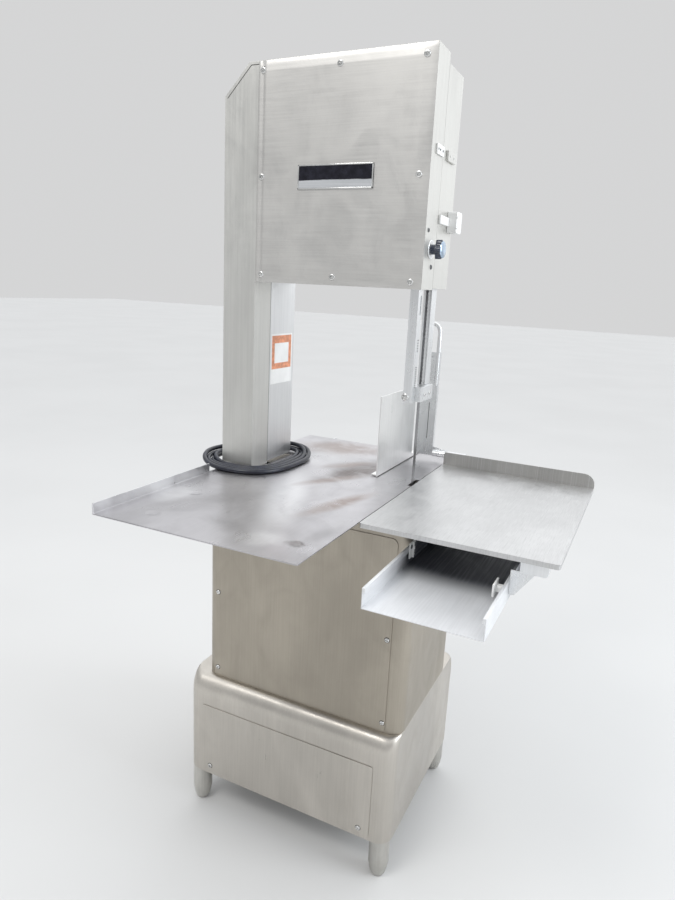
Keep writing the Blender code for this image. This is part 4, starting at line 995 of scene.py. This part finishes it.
def cord_route():
    lead = smooth_route([w(*point) for point in LEAD_ROUTE], 8)
    landing = lead[-1]
    start_angle = math.atan2(landing.y - RING_CENTRE.y, landing.x - RING_CENTRE.x)
    points, outward, lengths = ring_table(start_angle)
    around = lengths[-1]
    route = [tuple(point) for point in lead]
    plug_low, plug_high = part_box("power_plug")
    plug_x = (plug_low.x + plug_high.x) / 2
    plug_z = (plug_low.z + plug_high.z) / 2
    arc_radius = 0.0665
    arc_x = plug_x + arc_radius
    leave_x = arc_x + 0.034
    height = landing.z - RING_CENTRE.z
    last_turn = 3.7
    step = 0.003
    along = step
    while True:
        turn = along / around
        run = along % around
        offset, up = strand_offset(turn, along, height)
        spot = at_lengths(run, lengths, points) + at_lengths(run, lengths, outward) * offset
        if turn > last_turn and spot[0] < leave_x:
            break
        route.append((spot[0], spot[1], RING_CENTRE.z + up))
        along += step
    start = np.array(route[-1])
    arc_y = plug_high.y
    length = leave_x - arc_x + arc_radius * math.pi / 2
    steps = 48
    for number in range(1, steps + 1):
        run = length * number / steps
        rise = ease(run / length)
        z = start[2] + (plug_z - start[2]) * rise
        if run < leave_x - arc_x:
            x = leave_x - run
            y = start[1] + (arc_y + arc_radius - start[1]) * ease(run / (leave_x - arc_x))
        else:
            angle = math.pi / 2 + (run - (leave_x - arc_x)) / arc_radius
            x = arc_x + arc_radius * math.cos(angle)
            y = arc_y + arc_radius * math.sin(angle)
        route.append((x, y, z))
    inside = 0.006
    route.append((plug_x, arc_y - inside, plug_z))
    return relax(route, 0.004, 0.007)


def relief(name, points, radii, ribs):
    """A tapered sleeve along the cord, with ribs."""
    points = [Vector(point) for point in points]
    last = len(points) - 1
    count = 24
    rows = []
    side = None
    for number, point in enumerate(points):
        tangent = (points[min(number + 1, last)] - points[max(number - 1, 0)]).normalized()
        if side is None:
            side = tangent.orthogonal().normalized()
        side = (side - tangent * side.dot(tangent)).normalized()
        other = tangent.cross(side)
        groove = number % 4 in (2, 3) and 1 < number < last - 1
        radius = radii[number] - (ribs if groove else 0.0)
        angles = [math.tau * step / count for step in range(count)]
        rows.append([point + side * radius * math.cos(angle) + other * radius * math.sin(angle)
                     for angle in angles])
    return ring_piece(name, rows, "black", "frame", "rubber", 50)


def along_route(points, start, end, count):
    """Points from one length along the route to another. A negative length counts from its end."""
    lengths = run_lengths(points)
    if start < 0:
        start += lengths[-1]
        end += lengths[-1]
    return at_lengths(np.linspace(start, end, count), lengths, points)


def build_cord():
    points = cord_route()
    curve = bpy.data.curves.new("supply_cord", "CURVE")
    curve.dimensions = "3D"
    curve.bevel_depth = CORD_DIAMETER / 2
    curve.bevel_resolution = 3
    curve.use_fill_caps = True
    spline = curve.splines.new("POLY")
    spline.points.add(len(points) - 1)
    for point, at in zip(spline.points, points):
        point.co = (*at, 1.0)
    spline.use_smooth = True
    curve.materials.append(LOOKS["cord"])
    cord = add_object("supply_cord", curve)
    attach(cord, "frame")
    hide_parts("power_cord", "cord_coil")
    count = 26
    ribs = 0.0008
    taper = [CORD_DIAMETER / 2 + 0.0035 - 0.0030 * share for share in np.linspace(0, 1, count)]
    exit_relief = relief("exit_relief", along_route(points, 0.0, 0.030, count), taper, ribs)
    plug_relief = relief("plug_relief", along_route(points, -0.040, -0.006, count), taper[::-1], ribs)
    plug, pins = plug_pieces()


def plug_pieces():
    """A moulded plug that narrows towards the cord, and its pins."""
    low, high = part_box("power_plug")
    middle = (low + high) / 2
    half = (high - low) / 2
    depth = high.y - low.y
    body = ((0.30, 0.96), (0.315, 1.0), (0.40, 1.0), (0.42, 0.93), (0.50, 0.93), (0.52, 0.97),
            (0.62, 0.97), (0.80, 0.80), (0.92, 0.58), (1.0, 0.46))
    columns = 40
    squareness = 0.55

    def squared(value):
        return math.copysign(abs(value) ** squareness, value)

    rows = []
    for share, size in body:
        row = []
        for number in range(columns):
            angle = math.tau * number / columns
            row.append((middle.x + squared(math.cos(angle)) * half.x * size, low.y + share * depth,
                        middle.z + squared(math.sin(angle)) * half.z * size))
        rows.append(row)
    plug = ring_piece("moulded_plug", rows, "black", "frame", "black_plastic", 30)
    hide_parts("power_plug")
    front = low.y + 0.31 * depth
    pins = Builder()
    for side in (-1, 1):
        x = middle.x + side * 0.0064
        pins.box((x - 0.0008, low.y, middle.z - 0.0005), (x + 0.0008, front, middle.z + 0.0060), 0.0003)
    earth_z = middle.z - 0.0060
    pins.rod((middle.x, front, earth_z), (middle.x, low.y - 0.001, earth_z), 0.0024, 20)
    return plug, pins.piece("plug_pins", "brass", "frame", "bright_steel")


build_cord()


# ---- floor, light and camera ----
def build_floor():
    mesh = bpy.data.meshes.new("studio_floor")
    size = 30.0
    corners = [(-size, -size, 0), (size, -size, 0), (size, size, 0), (-size, size, 0)]
    mesh.from_pydata(corners, [], [(0, 1, 2, 3)])
    graph = Graph("studio_floor", 0.85)
    cloud = graph.noise((0.8, 0.8, 0.8), detail=3.0)
    graph.colour(graph.mix(graph.ramp(cloud, 0.3, 0.7), (0.60, 0.60, 0.598), (0.62, 0.62, 0.618)))
    mesh.materials.append(graph.material)
    add_object("studio_floor", mesh)


def build_world():
    """A soft surround, brighter from above and from the rear right. The camera sees one pale tone."""
    world = bpy.data.worlds.new("studio")
    bpy.context.scene.world = world
    world.use_nodes = True
    world.node_tree.nodes.clear()
    nodes = Nodes(world.node_tree)
    coordinates = nodes.add("ShaderNodeTexCoord").outputs["Generated"]
    split = nodes.add("ShaderNodeSeparateXYZ", {0: coordinates})
    toward = nodes.add("ShaderNodeVectorMath", {0: coordinates, 1: (0.45, 0.89, 0.0)},
                       operation="DOT_PRODUCT")
    right = nodes.ramp(toward.outputs["Value"], -0.15, 0.75, 0.0, 0.62)
    above = nodes.ramp(split.outputs["Z"], 0.15, 0.95, 0.53, 1.25)
    surround = nodes.add("ShaderNodeBackground", {"Color": (0.97, 0.985, 1.0, 1.0),
                                                  "Strength": nodes.math("ADD", right, above)})
    seen = nodes.add("ShaderNodeBackground", {"Color": (0.665, 0.667, 0.670, 1.0),
                                              "Strength": 1.0})
    path = nodes.add("ShaderNodeLightPath")
    mix = nodes.add("ShaderNodeMixShader", {"Fac": path.outputs["Is Camera Ray"],
                                            1: surround.outputs[0], 2: seen.outputs[0]})
    nodes.add("ShaderNodeOutputWorld", {"Surface": mix.outputs[0]})


def add_light(name, place_at, aim, size, power, tone):
    light = bpy.data.lights.new(name, "AREA")
    light.shape = "RECTANGLE"
    light.size = size[0]
    light.size_y = size[1]
    light.energy = power
    light.color = tone
    item = add_object(name, light)
    item.location = place_at
    item.rotation_euler = (Vector(aim) - Vector(place_at)).to_track_quat("-Z", "Y").to_euler()
    item.visible_camera = False


def build_camera():
    azimuth = math.radians(25.51)
    pitch = math.radians(13.69)
    roll = math.radians(2.86)
    forward = Vector((-math.sin(azimuth) * math.cos(pitch), math.cos(azimuth) * math.cos(pitch),
                      -math.sin(pitch)))
    level = Vector((math.cos(azimuth), math.sin(azimuth), 0.0))
    upright = level.cross(forward)
    right = level * math.cos(roll) + upright * math.sin(roll)
    up = upright * math.cos(roll) - level * math.sin(roll)
    data = bpy.data.cameras.new("photo_view")
    data.sensor_fit = "AUTO"
    data.sensor_width = 36.0
    data.lens = 26.68
    camera = add_object("photo_view", data)
    turn = Matrix((right, up, -forward)).transposed().to_4x4()
    camera.matrix_world = Matrix.Translation((0.53275, -1.32475, 1.334)) @ turn
    bpy.context.scene.camera = camera


build_floor()
build_world()
add_light("key", (-1.1, -2.5, 4.2), (0.0, 0.0, 0.8), (1.5, 1.1), 52, (1.0, 0.985, 0.96))
add_light("side", (4.2, 0.4, 2.2), (0.0, 0.0, 1.2), (2.2, 2.6), 90, (0.90, 0.955, 1.0))
build_camera()
bpy.context.scene.view_settings.view_transform = "Standard"
